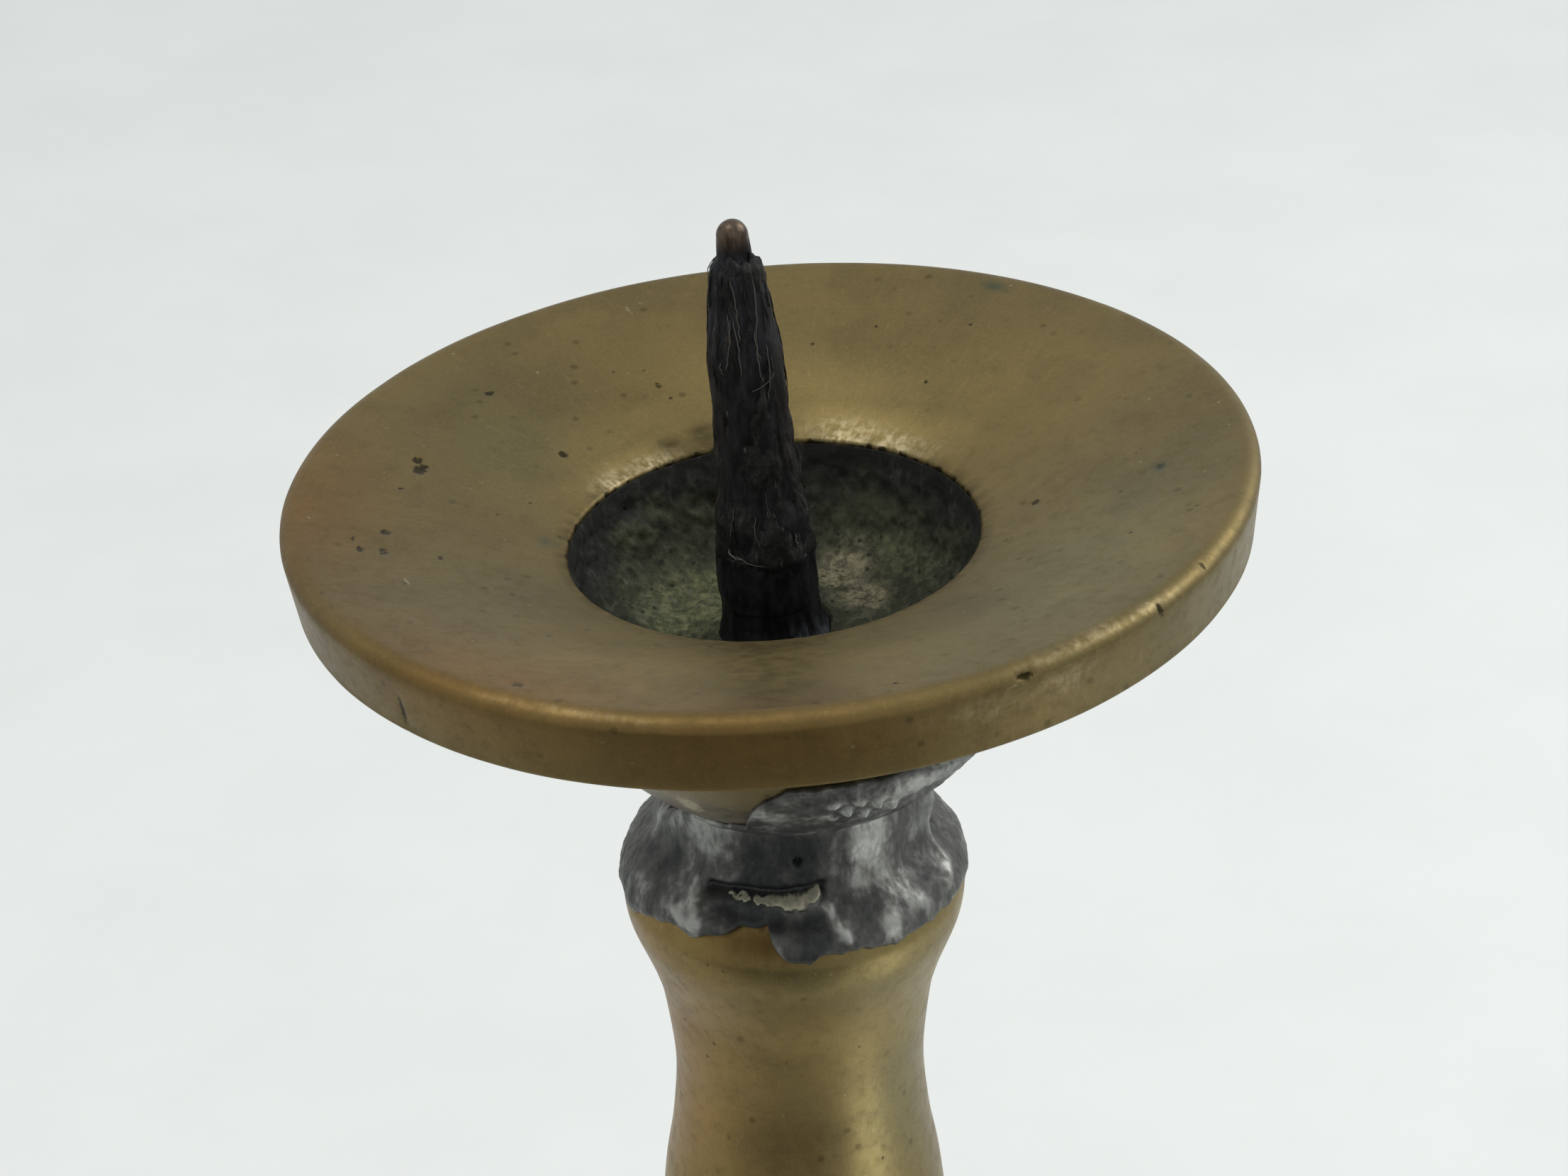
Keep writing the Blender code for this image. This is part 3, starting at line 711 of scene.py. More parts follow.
# Marks on the pan. Heights are measured from the rim's plane.
PAN_MARKS = {
    "pits": [
        (165.7, 30.5, -2, 0.95, 0.75, 0.2), (163.5, 31.2, -1.8, 0.5, 0.5, 0.15),
        (140.4, 31.9, -1.6, 0.5, 0.45, 0.15), (172.7, 31.2, -1.8, 0.35, 0.25, 0.1),
        (-167.2, 33.9, -1.1, 0.6, 0.35, 0.12), (-170, 34.3, -1, 0.35, 0.3, 0.1),
        (-172.9, 31.7, -1.7, 0.5, 0.55, 0.12), (-166.7, 32.1, -1.6, 0.7, 0.35, 0.12),
        (-165.8, 27.7, -2.8, 0.45, 0.28, 0.1), (143.3, 22.5, -4.6, 0.45, 0.5, 0.08),
        (113.1, 25.5, -3.6, 0.3, 0.45, 0.05), (-174.1, 18.1, -6.2, 0.4, 0.45, 0.1),
        (56.8, 24.8, -3.8, 0.2, 0.4, 0.08), (-1.9, 21.8, -4.9, 0.5, 0.35, 0.1),
        (28.3, 18.1, -6.2, 0.25, 0.3, 0.08), (-3.8, 32.1, -1.6, 0.55, 0.45, 0.1),
        (-61.3, 40.2, -0.7, 0.75, 0.5, 0.5), (-41.9, 40.1, -0.8, 0.24, 0.7, 0.2),
        (-46.2, 40.2, -0.9, 0.2, 0.45, 0.15), (-31.9, 39.9, -0.2, 0.3, 0.8, 0.3),
        (-100.8, 40.1, -1.9, 0.24, 0.6, 0.12), (-74.8, 36.6, -0.5, 0.3, 0.35, 0.1),
        (-120.2, 37, -0.4, 0.45, 0.55, 0.15), (-135.1, 40.1, -4.3, 0.18, 1.5, 0.15),
        (-67, 40, -4.7, 0.25, 0.6, 0.12),
    ],
    # Painted shade on the rim's corner and side.
    "brown": [
        (-66, 40.2, -3.5, 7, 3, 0.25), (-97, 39.6, -0.4, 12, 1.2, 0.4), (-128, 39.6, -0.4, 10, 1.2, 0.28),
        (-145, 40.2, -3, 14, 3.5, 0.16),
    ],
    "dust": [(-120, 15.5, -25, 8, 5, 0.8)],
    "blackening": [
        (118.7, 18.8, -5.95, 1.4, 0.9, 0.8), (109.2, 19.4, -5.7, 1.4, 0.7, 0.7),
        (107, 18.2, -6.2, 2.6, 1, 0.85),
    ],
    "green": [
        (57.5, 37.6, -0.2, 1.2, 0.7, 0.9), (-3.8, 32.1, -1.6, 0.9, 0.7, 0.6),
        (179.2, 19, -5.9, 0.9, 0.7, 0.6), (141.7, 33, -1.3, 4, 2.5, 0.12),
    ],
    "pale": [
        (-156.7, 31.4, -1.8, 0.9, 0.16, 0.9), (158.1, 35.4, -0.7, 0.5, 0.2, 0.8),
        (110.8, 35.7, -0.7, 0.5, 1.3, 0.5), (108.8, 36.2, -0.6, 1.2, 0.4, 0.5),
        (169.2, 37.9, -0.2, 0.4, 0.3, 0.7), (50.2, 34.2, -1, 0.16, 1.4, 0.7),
        (-76, 36.2, -0.5, 0.25, 0.5, 0.6), (-142, 40.2, -2, 1.2, 1, 0.4), (-119, 16.8, -23.2, 1.3, 1.9, 1),
        (-119.2, 37.3, -0.3, 0.3, 0.3, 0.8), (-62.9, 40.3, -1.2, 0.9, 0.4, 0.6),
    ],
    # Brass rubbed bright on the well's lip, painted brighter there as highlights, and painted highlights on
    # the rim's corner and side.
    "rub_and_painted_highlight": [
        (140, 17.8, -6.4, 2.4, 0.9, 1), (126, 17.8, -6.4, 2.4, 0.8, 1), (69, 18.1, -6.3, 2.8, 1.3, 1),
        (54, 17.9, -6.35, 3.4, 1, 0.95), (-51, 39.4, -0.1, 9, 0.7, 0.3), (-67, 40.2, -2.4, 4.5, 1.2, 0.15),
        (-56, 40.2, -2.4, 2.5, 1.2, 0.25), (-113, 39.4, -0.1, 8, 0.5, 0.15),
    ],
    "warm": [
        (-177, 38.1, -0.1, 14, 6, 0.9), (-124, 37, -0.4, 15, 5, 0.9), (-92, 40.2, -2.5, 18, 4, 0.7),
    ],
    "olive": [(150, 26, -3, 7, 6, 0.7), (-34, 29, -2.5, 16, 9, 0.8)],
    # Painted highlights and glow on the dish round the well and on the well's lip.
    "painted_glow": [
        (-90, 26, -3.5, 22, 9, 0.5), (-40, 29, -2.5, 12, 8, 0.35), (82, 22.5, -4.7, 13, 4.5, 0.45),
        (131, 21.5, -5, 8, 3, 0.3), (45, 28, -2.8, 14, 8, 0.2), (133, 18.8, -6, 7, 1.5, 0.75),
        (63, 19.2, -5.8, 8.5, 2.4, 0.9),
    ],
}


def build_pan(finish):
    def change(points, outward):
        moved, extra = marked(points, outward, PAN_MARKS)
        moved += outward * (lumps(points, 8.0, 2, 1) * 0.025)[:, None]
        _, radius = around(points)
        ragged = lumps(points, (0.9, 0.9, 1.4), 4, 17)
        in_cup = np.clip((LIP_RADIUS + 0.15 - radius + 0.3 * ragged) / 0.3, 0, 1)
        extra["mark"] = np.maximum(extra["mark"], in_cup)
        around_lip = np.clip((LIP_RADIUS + 0.75 - radius + 0.7 * ragged) / 0.8, 0, 1)
        extra["blackening"] = np.maximum(extra["blackening"], 0.6 * around_lip * (1 - extra["rub_and_painted_highlight"]))
        return moved, extra

    add_turned("drip_pan", pan_outline(), 448, change, finish, pan_frame())


# The pricket, in its own frame: heights are measured from the cup's floor.

PRICKET_CORE = [(1.45, 35.8), (2.1, 35.0), (2.55, 30.9), (3.0, 27.6), (3.1, 22.6), (3.35, 15.0), (3.9, 12.8)]
CRUST_TOP = 35.7
CRUST_BOTTOM = 8.7


def core_radius(height):
    radii, heights = zip(*reversed(PRICKET_CORE))
    return np.interp(height, heights, radii)


def build_pricket(finish):
    tip = arc((0.0, 37.6), (1.3, 1.4), 90, 12, 12)
    swelling = [(3.9, 9.6), (3.8, 8.9), (4.05, 4.6)]
    foot = [(4.15, 3.4), (4.45, 2.1), (5.2, 0.9), (5.6, 0.3), (5.6, -0.1), (0.0, -0.1)]
    outline = fine([*tip, *PRICKET_CORE, *swelling, *foot], 0.3, closed=False)

    def change(points, outward):
        rough = lumps(points, (0.9, 0.9, 4.0), 4, 2) * 0.14
        rough *= np.clip((37.0 - points[:, 2]) / 3.0, 0.15, 1.0)
        bare = np.clip((points[:, 2] - 36.6 + 2.5 * rough) / 0.9, 0, 1)
        # A painted bluish-grey highlight low on the foot, at the front right.
        painted_blue_glint = spot(points, -50, 5.0, 1.4, 3.5, 1.6)
        return points + outward * rough[:, None], {"bare": bare, "painted_blue_glint": painted_blue_glint}

    add_turned("pricket", outline, 128, change, finish, pricket_frame(), False, "pricket_iron")


def build_pricket_collar(finish):
    """The ring on the spike's foot, worn thin, with a chipped upper edge that runs downhill."""
    inner = 3.75
    top = arc((3.9, 9.5), (0.25, 0.3), 90, 0, 5)
    outline = fine([(inner, 9.8), *top, (4.2, 6.4), (4.15, 4.9), (inner, 4.8)], 0.2)

    def change(points, outward):
        azimuth, _ = around(points)
        worn = lumps(points, (1.4, 1.4, 2.2), 4, 9) * 0.12
        moved = points + outward * worn[:, None]
        upper = np.clip((points[:, 2] - 7.9) / 1.6, 0, 1)
        moved[:, 2] += upper * (0.4 * np.cos(np.radians(azimuth - 200)) + 2.0 * worn)
        # A painted pale highlight on the collar's upper edge, at the front left.
        return moved, {"painted_blue_glint": np.clip(upper * spot(points, -150, 4.2, 9.6, 1.2, 0.4), 0, 1)}

    add_turned("pricket_collar", outline, 160, change, finish, pricket_frame(), slot="pricket_iron")


def build_crust(finish):
    """The charred, fibrous layer on the spike. Its upper edge is ragged."""
    heights = np.arange(CRUST_TOP, CRUST_BOTTOM, -0.22)
    over_ring = 0.22 * np.exp(-(((heights - 9.8) / 1.2) ** 2)) - 0.9 * np.clip((9.4 - heights) / 0.6, 0, 1)
    over_ring -= 0.16 * np.exp(-(((heights - 27.0) / 6.0) ** 2))
    outside = [(core_radius(z) + 0.02 + extra, z) for z, extra in zip(heights, over_ring)]
    inside = [(core_radius(z) - 0.5, z) for z in heights[::-8]]

    def change(points, outward):
        azimuth, _ = around(points)
        rough = lumps(points, (0.9, 0.9, 5.0), 4, 12) * 0.2 + lumps(points, (2.2, 2.2, 4.0), 3, 13) * 0.26
        grain = lumps(points, (0.3, 0.3, 1.2), 3, 14)
        moved = points + outward * (rough + 0.06 * grain)[:, None]
        ring = np.column_stack([points[:, :2], np.zeros(len(points))])
        near_top = np.clip((points[:, 2] - CRUST_TOP + 2.0) / 2.0, 0, 1)
        near_bottom = np.clip((CRUST_BOTTOM + 2.0 - points[:, 2]) / 2.0, 0, 1)
        moved[:, 2] += (near_top + near_bottom) * lumps(ring, 0.8, 3, 15) * 0.8
        return moved, {"grain": np.clip(0.3 + 0.5 * grain, 0, 1)}

    mesh = turned_mesh("pricket_crust", [*outside, *inside], 200, change, pricket_frame())
    add_piece("pricket_crust", mesh, finish, "pricket_iron")


def tube(path, radius, sides=5):
    """Points and faces of a thin round thread, closed at both ends, which tapers to them."""
    path = np.array(path)
    ahead = np.gradient(path, axis=0)
    ahead /= np.linalg.norm(ahead, axis=1)[:, None]
    across = np.cross(ahead, (0.3, 0.5, 0.8))
    across /= np.linalg.norm(across, axis=1)[:, None]
    up = np.cross(ahead, across)
    turn = np.linspace(0, math.tau, sides, endpoint=False)
    count = len(path)
    taper = radius * np.clip(6 * np.sin(np.linspace(0.02, math.pi - 0.02, count)), 0, 1)
    ring = across[:, None] * np.cos(turn)[:, None] + up[:, None] * np.sin(turn)[:, None]
    points = (path[:, None] + ring * taper[:, None, None]).reshape(-1, 3)
    faces = []
    for first in range(0, (count - 1) * sides, sides):
        for side in range(sides):
            near, far = first + side, first + (side + 1) % sides
            faces.append([near, far, far + sides, near + sides])
    faces.append(list(reversed(range(sides))))
    faces.append([(count - 1) * sides + side for side in range(sides)])
    return points, faces


def threads_mesh(name, threads, where):
    """One mesh of many threads, each (path, radius, tone)."""
    points, faces, tones = [], [], []
    for path, radius, tone in threads:
        new, corners = tube(path, radius)
        start = sum(len(p) for p in points)
        faces += [[start + c for c in face] for face in corners]
        points.append(new)
        tones.append(np.full(len(new), tone))
    mesh = bpy.data.meshes.new(name)
    mesh.from_pydata(np.concatenate(points) * MM, [], faces)
    set_values(mesh, grain=np.concatenate(tones))
    mesh.transform(where)
    return mesh


# Hairs that stand off the spike: (azimuth, lowest point, highest point, how far they reach out, how far
# round they go in degrees, radius).
HAIRS = [
    (-28, 12.5, 15.0, 0.35, 0, 0.03), (5, 15.5, 18.5, 0.3, 0, 0.03), (-70, 29.0, 34.6, 0.14, 14, 0.045),
    (-92, 29.5, 34.8, 0.14, -12, 0.045), (-96, 26.5, 31.5, 0.14, -8, 0.045),
    (-118, 27.0, 31.5, 0.14, 8, 0.045), (-60, 24.0, 29.0, 0.15, 6, 0.04),
    (-84, 25.2, 26.4, 0.16, 40, 0.035), (-84, 9.6, 10.6, 0.5, -44, 0.04),
    (-114, 10.3, 10.9, 0.55, -24, 0.09),
]


def build_fibres(finish):
    """Charred fibres that lie along the crust, and a few hairs caught at the spike's foot."""
    draw = random.Random(7)
    threads = []
    for number in range(110):
        azimuth = draw.uniform(0, 360)
        start = draw.uniform(24.0, 34.5) if number % 2 else draw.uniform(10.0, 33.0)
        length, drift, lift = draw.uniform(0.8, 3.6), draw.uniform(-7, 7), draw.uniform(0.0, 0.07)
        path = []
        for i in range(9):
            t = i / 8
            z = min(start + length * t, CRUST_TOP)
            turn = math.radians(azimuth + drift * math.sin(2.2 * t))
            radius = core_radius(z) + 0.08 + lift * math.sin(math.pi * t)
            turn += math.radians(draw.uniform(-1.6, 1.6))
            path.append((radius * math.cos(turn), radius * math.sin(turn), z))
        threads.append((path, draw.uniform(0.025, 0.06), draw.uniform(0.0, 0.9)))
    for azimuth, bottom, top, reach, sweep, thick in HAIRS:
        path = []
        for i in range(13):
            t = i / 12
            turn = math.radians(azimuth + sweep * t + 5 * math.sin(2.5 * t))
            radius = core_radius(bottom + (top - bottom) * t) + 0.12 + reach * math.sin(math.pi * t)
            turn += math.radians(draw.uniform(-1.5, 1.5))
            path.append((radius * math.cos(turn), radius * math.sin(turn), bottom + (top - bottom) * t))
        threads.append((path, thick, 0.8))
    mesh = threads_mesh("pricket_fibres", threads, pricket_frame())
    add_piece("pricket_fibres", mesh, finish, "pricket_iron")


# What candles have left in the cup.

# Green and cream patches, as marks.
RESIDUE_MARKS = {
    "green": [
        (145, 8.6, -15.4, 5.6, 4.2, 1.25), (-100, 13, -15, 12, 4.5, 0.6), (138, 16.5, -9, 8, 3.4, 0.5),
        (40, 13.5, -14, 6, 3, 0.45),
    ],
    "cream": [(34, 8.2, -15.7, 2.6, 2.6, 0.85), (60, 10.6, -15.2, 2.6, 3.4, 0.85)],
}


def build_residue(finish):
    """Verdigris, wax and dirt: a skin on the cup's wall, and a heap round the spike's foot."""
    back = arc(CUP_CENTRE, (CUP_RADII[0] + 0.3, CUP_RADII[1] + 0.3), -3, -90, 24)
    wall = [(16.75, -8.8), (15.7, -11.5), (14.1, -13.9)]
    heap = [(11.6, -15.4), (9.0, -15.9), (6.6, -15.6), (4.2, -14.9)]
    front = [(17.22, -6.98), (17.1, -7.4), *smooth([*wall, *heap])]
    outline = [*back, (3.6, -CUP_DEPTH - 0.3), *fine(front[::-1], 0.3, closed=False)]

    def change(points, outward):
        _, extra = marked(points, outward, RESIDUE_MARKS)
        azimuth, radius = around(points)
        height = points[:, 2]
        free = np.clip(-(height + LIP_DEPTH + 0.2) / 1.5, 0, 1)
        free *= np.clip((CUP_RADII[0] + 9.3 - radius) / 2.0, 0.3, 1)
        crumbs = 0.42 * lumps(points, 3.0, 3, 21) + 0.26 * lumps(points, 1.1, 3, 22)
        crumbs += 0.12 * lumps(points, 0.45, 2, 23)
        inner = outward[:, 2] > -0.2
        moved = points + outward * (crumbs * free * inner)[:, None]
        moved[:, 2] -= 1.7 * spot(points, -52, 5.8, -15.6, 3.4, 2.6) * inner
        deep = 3.6 * np.exp(-(((azimuth % 360 - 186) / 34) ** 2)) * (radius > 9.5)
        deep += 1.6 * lumps(points, (3.0, 3.0, 5.0), 3, 25)
        extra["wisps"] = np.clip((-LIP_DEPTH - 2.5 - height) / 4.0, 0, 1)
        # Darker towards the top of the cup's wall, reaching further down on one side.
        extra["blackening"] = np.clip((height + 11.4 + deep) / 3.0, 0, 1) * inner
        return moved, extra

    mesh = turned_mesh("cup_residue", outline, 480, change, pan_frame())
    add_piece("cup_residue", mesh, finish, "brass")


# The solder, in the stem's frame: heights are measured from the stem's top.


# The outside of the jacket below the bowl: (radius, height).
JACKET = [
    (12.1, 5.6), (11.95, 3.4), (12.2, 1.8), (13.3, 0.5), (14.6, -1.2),
    (15.25, -3.0), (15.35, -4.9), (14.9, -7.0),
]
# The jacket's edges: (azimuth, height).
UPPER_EDGE = [
    (-180, 4.6), (-160, 4.9), (-145, 6.8), (-132, 8.2), (-124, 8.8), (-114, 8.8), (-105, 9.9),
    (-100, 13.0), (-96, 14.9), (-90, 16.3), (-75, 16.6), (-60, 16.4), (-45, 15.6), (-30, 14.0),
    (-10, 12.5), (20, 11.0), (60, 12.5), (100, 10.0), (140, 12.0), (165, 6.0), (180, 4.6),
]
LOWER_EDGE = [
    (-180, -5.0), (-168, -4.8), (-155, -4.2), (-144, -3.0), (-135, -2.6), (-125, -2.9),
    (-114, -2.0), (-109, -1.2), (-99, -0.9), (-97, -2.2), (-92, -3.7), (-85, -3.9),
    (-82, -3.2), (-74, -3.5), (-67, -3.4), (-55, -4.1), (-50, -3.6), (-34, -3.6),
    (-19, -3.8), (0, -4.8), (40, -4.2), (80, -2.6), (120, -3.6), (160, -4.6), (180, -5.0),
]
# Lumps and hollows: azimuth, height, half-width in degrees, half-height, rise, tone. The tone is partly the
# solder's own and partly painted: painted highlights on the bright lumps, painted shade in the hollows by
# the slit.
SOLDER_LUMPS = [
    (-93, 4.4, 19, 2.6, -0.15, -0.55), (-89, 4.3, 1.7, 0.36, -0.9, -0.5), (-153, 0.8, 14, 1.6, -0.1, -0.3),
    (-112, 0.2, 8, 0.8, -0.45, -0.5), (-98, -0.2, 7, 0.7, -0.4, -0.5), (-62, 4.5, 13, 3, 0.1, 0.3),
    (-122, 5.2, 8, 2.4, 0.1, 0.3), (-57, 14.2, 10, 1.2, 0.45, 0.7), (-96, 12.6, 5, 0.9, 0.15, 0.45),
    (-66, 12.6, 10, 1.6, 0.15, 0.2), (-129, 0.6, 4, 1.4, 0.35, 0.25), (-85, -2.4, 7, 1.2, 0.4, -0.7),
    (-56, -1.5, 4, 1, 0.3, 1), (-32, 1.7, 10, 2, -0.1, -0.15), (-10, 1.4, 6, 2.6, -0.5, -0.25),
    (-72, 13, 9, 1.7, -0.15, -0.25), (-79, 14.2, 2.2, 0.6, 0.9, 0.9), (-75, 12.8, 1.6, 0.5, 0.9, 0.9),
    (-72, 14.2, 1.6, 0.5, 0.9, 0.9), (-70, 12, 1.8, 0.5, 0.8, 0.8), (-67, 13.3, 1.5, 0.5, 0.9, 0.9),
    (-62, 12.2, 1.8, 0.5, 0.8, 0.9), (-78, 11.6, 1.5, 0.35, 0.4, 0.6), (-118.5, 8.4, 4, 0.8, 0, 0.4),
    (-108, -0.9, 10, 1.2, 0, -0.6), (-84, -0.2, 6, 0.8, -0.15, -0.5), (-103, 2.2, 14, 0.7, 0, -0.4),
    (-140, 6, 12, 1.2, 0, 0.2), (-62, 6, 8, 2.4, 0, 0.25), (-45, 0, 6, 1.6, 0.15, 0.35),
    (-120, -1, 9, 0.8, 0.1, 0.25),
]
# Ridges and grooves: (azimuth, height) of their points, half-width, rise, tone. The tone paints highlights
# along the ridges and shade in the slit's groove.
SOLDER_LINES = [
    ([(-124, 1.2), (-111, 1.35), (-95, 1.4), (-79, 1.9)], 0.45, -0.8, -0.5),
    ([(-20, 6.4), (-18, 2.6), (-20, -0.4), (-26, -1.6)], 0.45, 0.35, 0.3),
    ([(-157, 7.4), (-163, 4.5), (-166, 2.0)], 0.6, 0.3, 0.25),
    ([(-130, 1.6), (-127, 0.2), (-124, -1.3)], 0.45, 0.2, 0.4),
    ([(-134, -1.0), (-128, -1.5), (-125, -1.6)], 0.45, 0.15, 0.4),
    ([(-77, 0.5), (-75, -0.8), (-72, -1.8)], 0.4, 0.3, 0.45),
    ([(-133, 7.3), (-105, 7.7), (-78, 8.4)], 0.5, 0.2, 0.2),
]


# The pale sliver in the slit: its line, and its half-width at some azimuths.
SLIVER = [(-115, 1.1), (-97, 1.0), (-89, 0.9), (-80, 1.6)]
SLIVER_WIDTHS = [(-115, 0.1), (-104, 0.17), (-96, 0.22), (-88, 0.5), (-79, 0.25)]


def line_distance(azimuth, height, points):
    """How far each place on the solder is from a line on it, in millimetres."""
    scale = 13.0 * math.pi / 180
    nearest = np.full(len(azimuth), 99.0)
    for (a, b), (c, d) in zip(points, points[1:]):
        start, step = np.array([a * scale, b]), np.array([(c - a) * scale, d - b])
        offset = np.column_stack([azimuth * scale, height]) - start
        t = np.clip(offset @ step / (step @ step), 0, 1)
        nearest = np.minimum(nearest, np.linalg.norm(offset - t[:, None] * step, axis=1))
    return nearest


def brass_radius(height):
    """The outside of the brass under the solder: the pan's bowl, its neck, and the stem's knop."""
    depth = STEM_TO_RIM_PLANE - height
    bowl = np.sqrt(np.maximum(BOSS_RADIUS**2 - (depth - BOSS_CENTRE_DEPTH) ** 2, NECK_RADIUS**2))
    radii, heights = zip(*reversed(STEM_KNOP))
    return np.where(height > 0, bowl, np.interp(height, heights, radii))


def jacket_radius(height):
    radii, heights = zip(*reversed(smooth(JACKET, 8)))
    depth = STEM_TO_RIM_PLANE - height
    film = BOSS_RADIUS + 0.55
    bowl = np.sqrt(np.maximum(film**2 - (depth - BOSS_CENTRE_DEPTH) ** 2, 12.1**2))
    return np.where(height > 6.0, bowl, np.interp(height, heights, radii))


def build_solder(finish):
    """The jacket that joins the pan to the stem: lumpy, with ragged edges, a slit and a pinhole."""
    columns, rows = 720, 118
    azimuths = np.linspace(-180, 180, columns, endpoint=False)
    turn = np.radians(azimuths)
    ring = np.column_stack([np.cos(turn), np.sin(turn), np.zeros(columns)])
    upper = np.interp(azimuths, *zip(*UPPER_EDGE)) + 0.5 * lumps(ring * 13, 2.2, 3, 31)
    lower = np.interp(azimuths, *zip(*LOWER_EDGE)) + 0.25 * lumps(ring * 13, 1.4, 3, 32)
    share = np.linspace(0, 1, rows)[:, None]
    height = (upper + (lower - upper) * share).ravel()
    azimuth = np.tile(azimuths, rows)
    from_edge = np.minimum(height - np.tile(lower, rows), np.tile(upper, rows) - height)
    taper = 0.7 + 1.4 * np.clip((np.abs(azimuth + 90) - 50) / 40, 0, 1)
    swell = np.sqrt(np.clip(1 - (1 - np.clip(from_edge / taper, 0, 1)) ** 2, 0, 1))
    under = brass_radius(height) - 0.15
    radius = under + (jacket_radius(height) - under) * swell
    turn = np.radians(azimuth)
    unit = np.column_stack([np.cos(turn), np.sin(turn), np.zeros(len(turn))])
    points = unit * radius[:, None] + np.column_stack([0 * height, 0 * height, height])

    rise = 0.2 * lumps(points, 3.4, 2, 33) + 0.10 * lumps(points, (1.1, 1.1, 1.9), 3, 34)
    rise += (0.04 + 0.08 * np.clip(height - 9, 0, 1)) * lumps(points, 0.6, 2, 35)
    tone = 0.45 + 0.34 * lumps(points, (2.4, 2.4, 3.0), 4, 36)
    tone += 0.16 * lumps(points, (0.7, 0.7, 1.3), 3, 37)
    for side, middle, wide, tall, up, tone_with_painted_light in SOLDER_LUMPS:
        there = np.exp(-(((azimuth - side) / wide) ** 2) - ((height - middle) / tall) ** 2)
        rise += up * there
        tone += tone_with_painted_light * there
    for line, width, up, tone_with_painted_light in SOLDER_LINES:
        there = np.exp(-((line_distance(azimuth, height, line) / width) ** 2))
        rise += up * there
        tone += tone_with_painted_light * there
    sliver = line_distance(azimuth, height, SLIVER)
    sliver += 0.2 * lumps(points, 0.7, 3, 38)
    sliver_width = np.interp(azimuth, *zip(*SLIVER_WIDTHS))
    bare = np.exp(-((sliver / sliver_width) ** 2)) * (np.abs(azimuth + 97) < 20)
    rise += (0.6 + 0.5 * lumps(points, 0.6, 2, 39)) * bare
    points += unit * (rise * np.clip(from_edge / 0.5, 0, 1))[:, None]

    lean = np.clip((height - 1.0) / 5.0, 0, 1)
    points[:, 0] -= math.sin(PAN_LEAN) * (height - (STEM_TO_RIM_PLANE - LEAN_PIVOT_DEPTH)) * lean
    inner = points.reshape(rows, columns, 3)[::-8] - 0.9 * unit[:columns]
    faces = ring_faces(rows + len(inner), columns)
    inner = inner.reshape(-1, 3)
    everything = np.concatenate([points, inner])
    everything[:, 2] += STEM_TOP
    mesh = bpy.data.meshes.new("solder_repair")
    mesh.from_pydata(everything * MM, [], faces)
    pad = np.zeros(len(inner))
    set_values(mesh, tone=np.concatenate([np.clip(tone, 0, 1), pad]), bare=np.concatenate([bare, pad]))
    add_piece("solder_repair", mesh, finish, "solder", "solder_repair")


# The studio, in metres.

CAMERA_TURN = (60.488, 1.642, 0.0)
LAMP_SIZE = 0.5
LAMP_AIM = Vector((0.0, 0.0, 0.25))
# Name: (watts, place).
LAMPS = {
    "right_box": (5.0, (0.80, 0.35, 0.85)),
    "left_box": (2.5, (-0.35, -0.05, 1.15)),
}
WINDOW = [(0.135, -0.035, 0.085), (0.085, -0.085, 0.085), (0.085, -0.085, 0.17), (0.135, -0.035, 0.17)]
FRONT_SHADE_CARD = [(-0.45, -0.95, 0.001), (0.40, -0.95, 0.001), (0.33, -0.2, 0.001), (-0.42, -0.14, 0.001)]
# Cards that only reflections see: the window glows as a light for the stem's highlight stripe, and the dark
# card on the floor in front stands for the shade there. Name: (corners, grey, glow).
CARDS = {"window": (WINDOW, 0.8, 1.9), "front_shade_card": (FRONT_SHADE_CARD, 0.02, 0.12)}


def build_world():
    world = bpy.data.worlds.new("studio")
    world.use_nodes = True
    background = world.node_tree.nodes["Background"]
    background.inputs["Color"].default_value = (0.90, 0.915, 0.905, 1.0)
    background.inputs["Strength"].default_value = 0.88
    bpy.context.scene.world = world


def build_floor():
    mesh = bpy.data.meshes.new("floor")
    body = bmesh.new()
    bmesh.ops.create_grid(body, x_segments=1, y_segments=1, size=4.0)
    body.to_mesh(mesh)
    body.free()
    floor = link("floor", mesh)
    paper = Finish("paper")
    cloud = paper.noise(60.0, 4, 0.6)
    paper.colour = paper.mix(paper.step(cloud, 0.35, 0.65), (0.685, 0.705, 0.695), (0.705, 0.725, 0.715))
    fibres = paper.noise(1.5, 4, 0.6)
    rough, normal = paper.blend(fibres, 0.85, 0.95), paper.bump(fibres, 0.05)
    mesh.materials.append(paper.finish(rough, normal, 0.0))


def build_lamp(name, power, place):
    lamp = bpy.data.lights.new(name, "AREA")
    lamp.shape = "RECTANGLE"
    lamp.size = lamp.size_y = LAMP_SIZE
    lamp.energy = power
    made = link(name, lamp)
    made.location = place
    made.rotation_euler = (LAMP_AIM - Vector(place)).to_track_quat("-Z", "Y").to_euler()


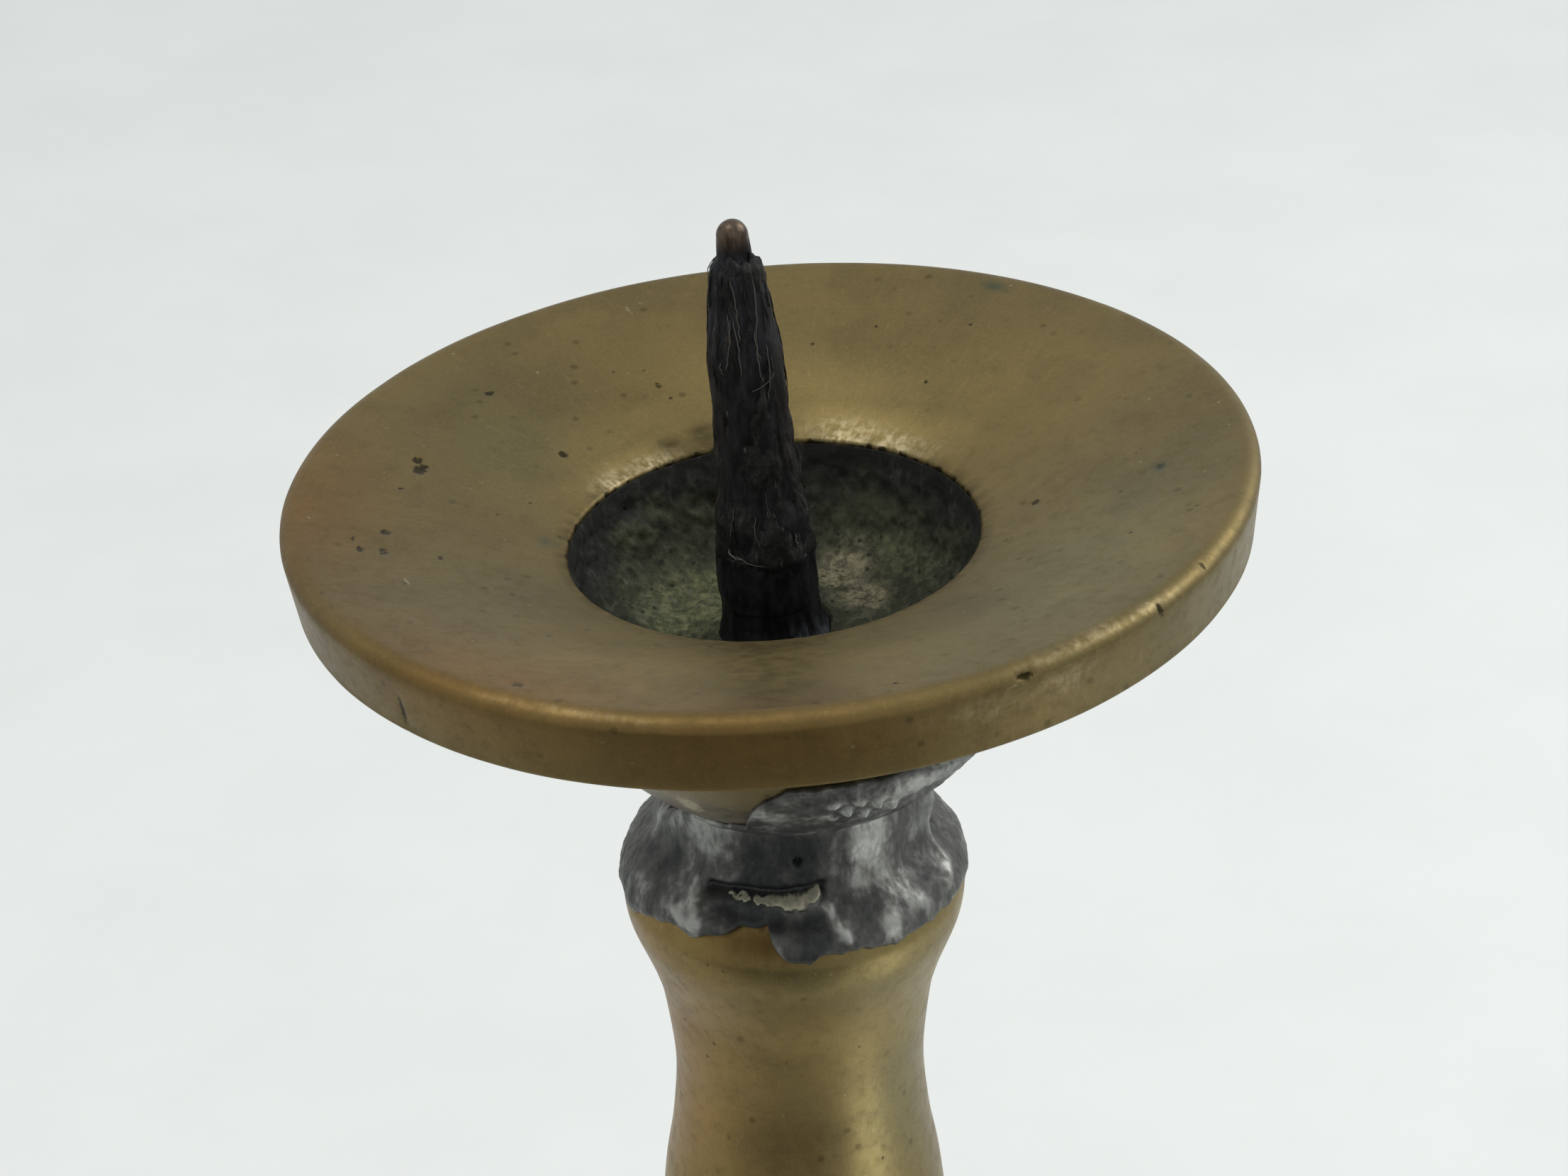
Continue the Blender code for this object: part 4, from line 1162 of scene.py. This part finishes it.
def build_card(name, corners, grey, glow):
    mesh = bpy.data.meshes.new(name)
    mesh.from_pydata(corners, [], [(0, 1, 2, 3)])
    finish = bpy.data.materials.new(name)
    finish.use_nodes = True
    shader = finish.node_tree.nodes["Principled BSDF"]
    shader.inputs["Base Color"].default_value = (grey, grey, grey, 1.0)
    shader.inputs["Emission Color"].default_value = (1.0, 1.0, 0.97, 1.0)
    shader.inputs["Emission Strength"].default_value = glow
    mesh.materials.append(finish)
    made = link(name, mesh)
    for ray in ("camera", "diffuse", "shadow", "transmission"):
        setattr(made, "visible_" + ray, False)


def build_camera():
    camera = bpy.data.cameras.new("camera")
    camera.lens = 85.0
    camera.sensor_width = 36.0
    camera.clip_start = 0.01
    made = link("camera", camera)
    made.location = Vector((4.318, -269.573, RIM_PLANE + 140.792)) * MM
    made.rotation_euler = [math.radians(a) for a in CAMERA_TURN]
    bpy.context.scene.camera = made


def build_studio():
    bpy.context.scene.view_settings.view_transform = "Standard"
    build_world()
    build_floor()
    for name, (power, place) in LAMPS.items():
        build_lamp(name, power, place)
    for name, (corners, grey, glow) in CARDS.items():
        build_card(name, corners, grey, glow)
    build_camera()


# Colours of brass: polished, aged and tarnished.
PAN_COLOURS = ((0.175, 0.131, 0.053), (0.150, 0.114, 0.048), (0.085, 0.067, 0.032))
STEM_COLOURS = ((0.24, 0.186, 0.077), (0.20, 0.155, 0.068), (0.11, 0.088, 0.042))
COLLAR_RADII = {"base_collar": 16.4, "lower_collar": 15.6, "upper_collar": 14.6}
# CAD nodes that keep their own shape.
PLAIN_IRON = ("tie_rod", "clamp_washer", "clamp_nut", "foot_stud_1", "foot_stud_2", "foot_stud_3")


def main():
    build_studio()
    pan_brass = brass("pan_brass", *PAN_COLOURS, 0.44)
    stem_brass = brass("stem_brass", *STEM_COLOURS, 0.40)
    black_iron = iron()
    spike = spike_iron()
    burnt = char()
    build_pan(pan_brass)
    build_pricket(spike)
    build_pricket_collar(spike)
    build_crust(burnt)
    build_fibres(burnt)
    build_residue(verdigris())
    build_stem(stem_brass)
    build_knop(stem_brass)
    build_lower_stem(stem_brass)
    build_base(stem_brass)
    build_feet(stem_brass)
    for node, radius in COLLAR_RADII.items():
        build_collar(node, radius, stem_brass)
    build_solder(solder())
    for node in PLAIN_IRON:
        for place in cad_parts[node].material_slots:
            place.material = black_iron


main()
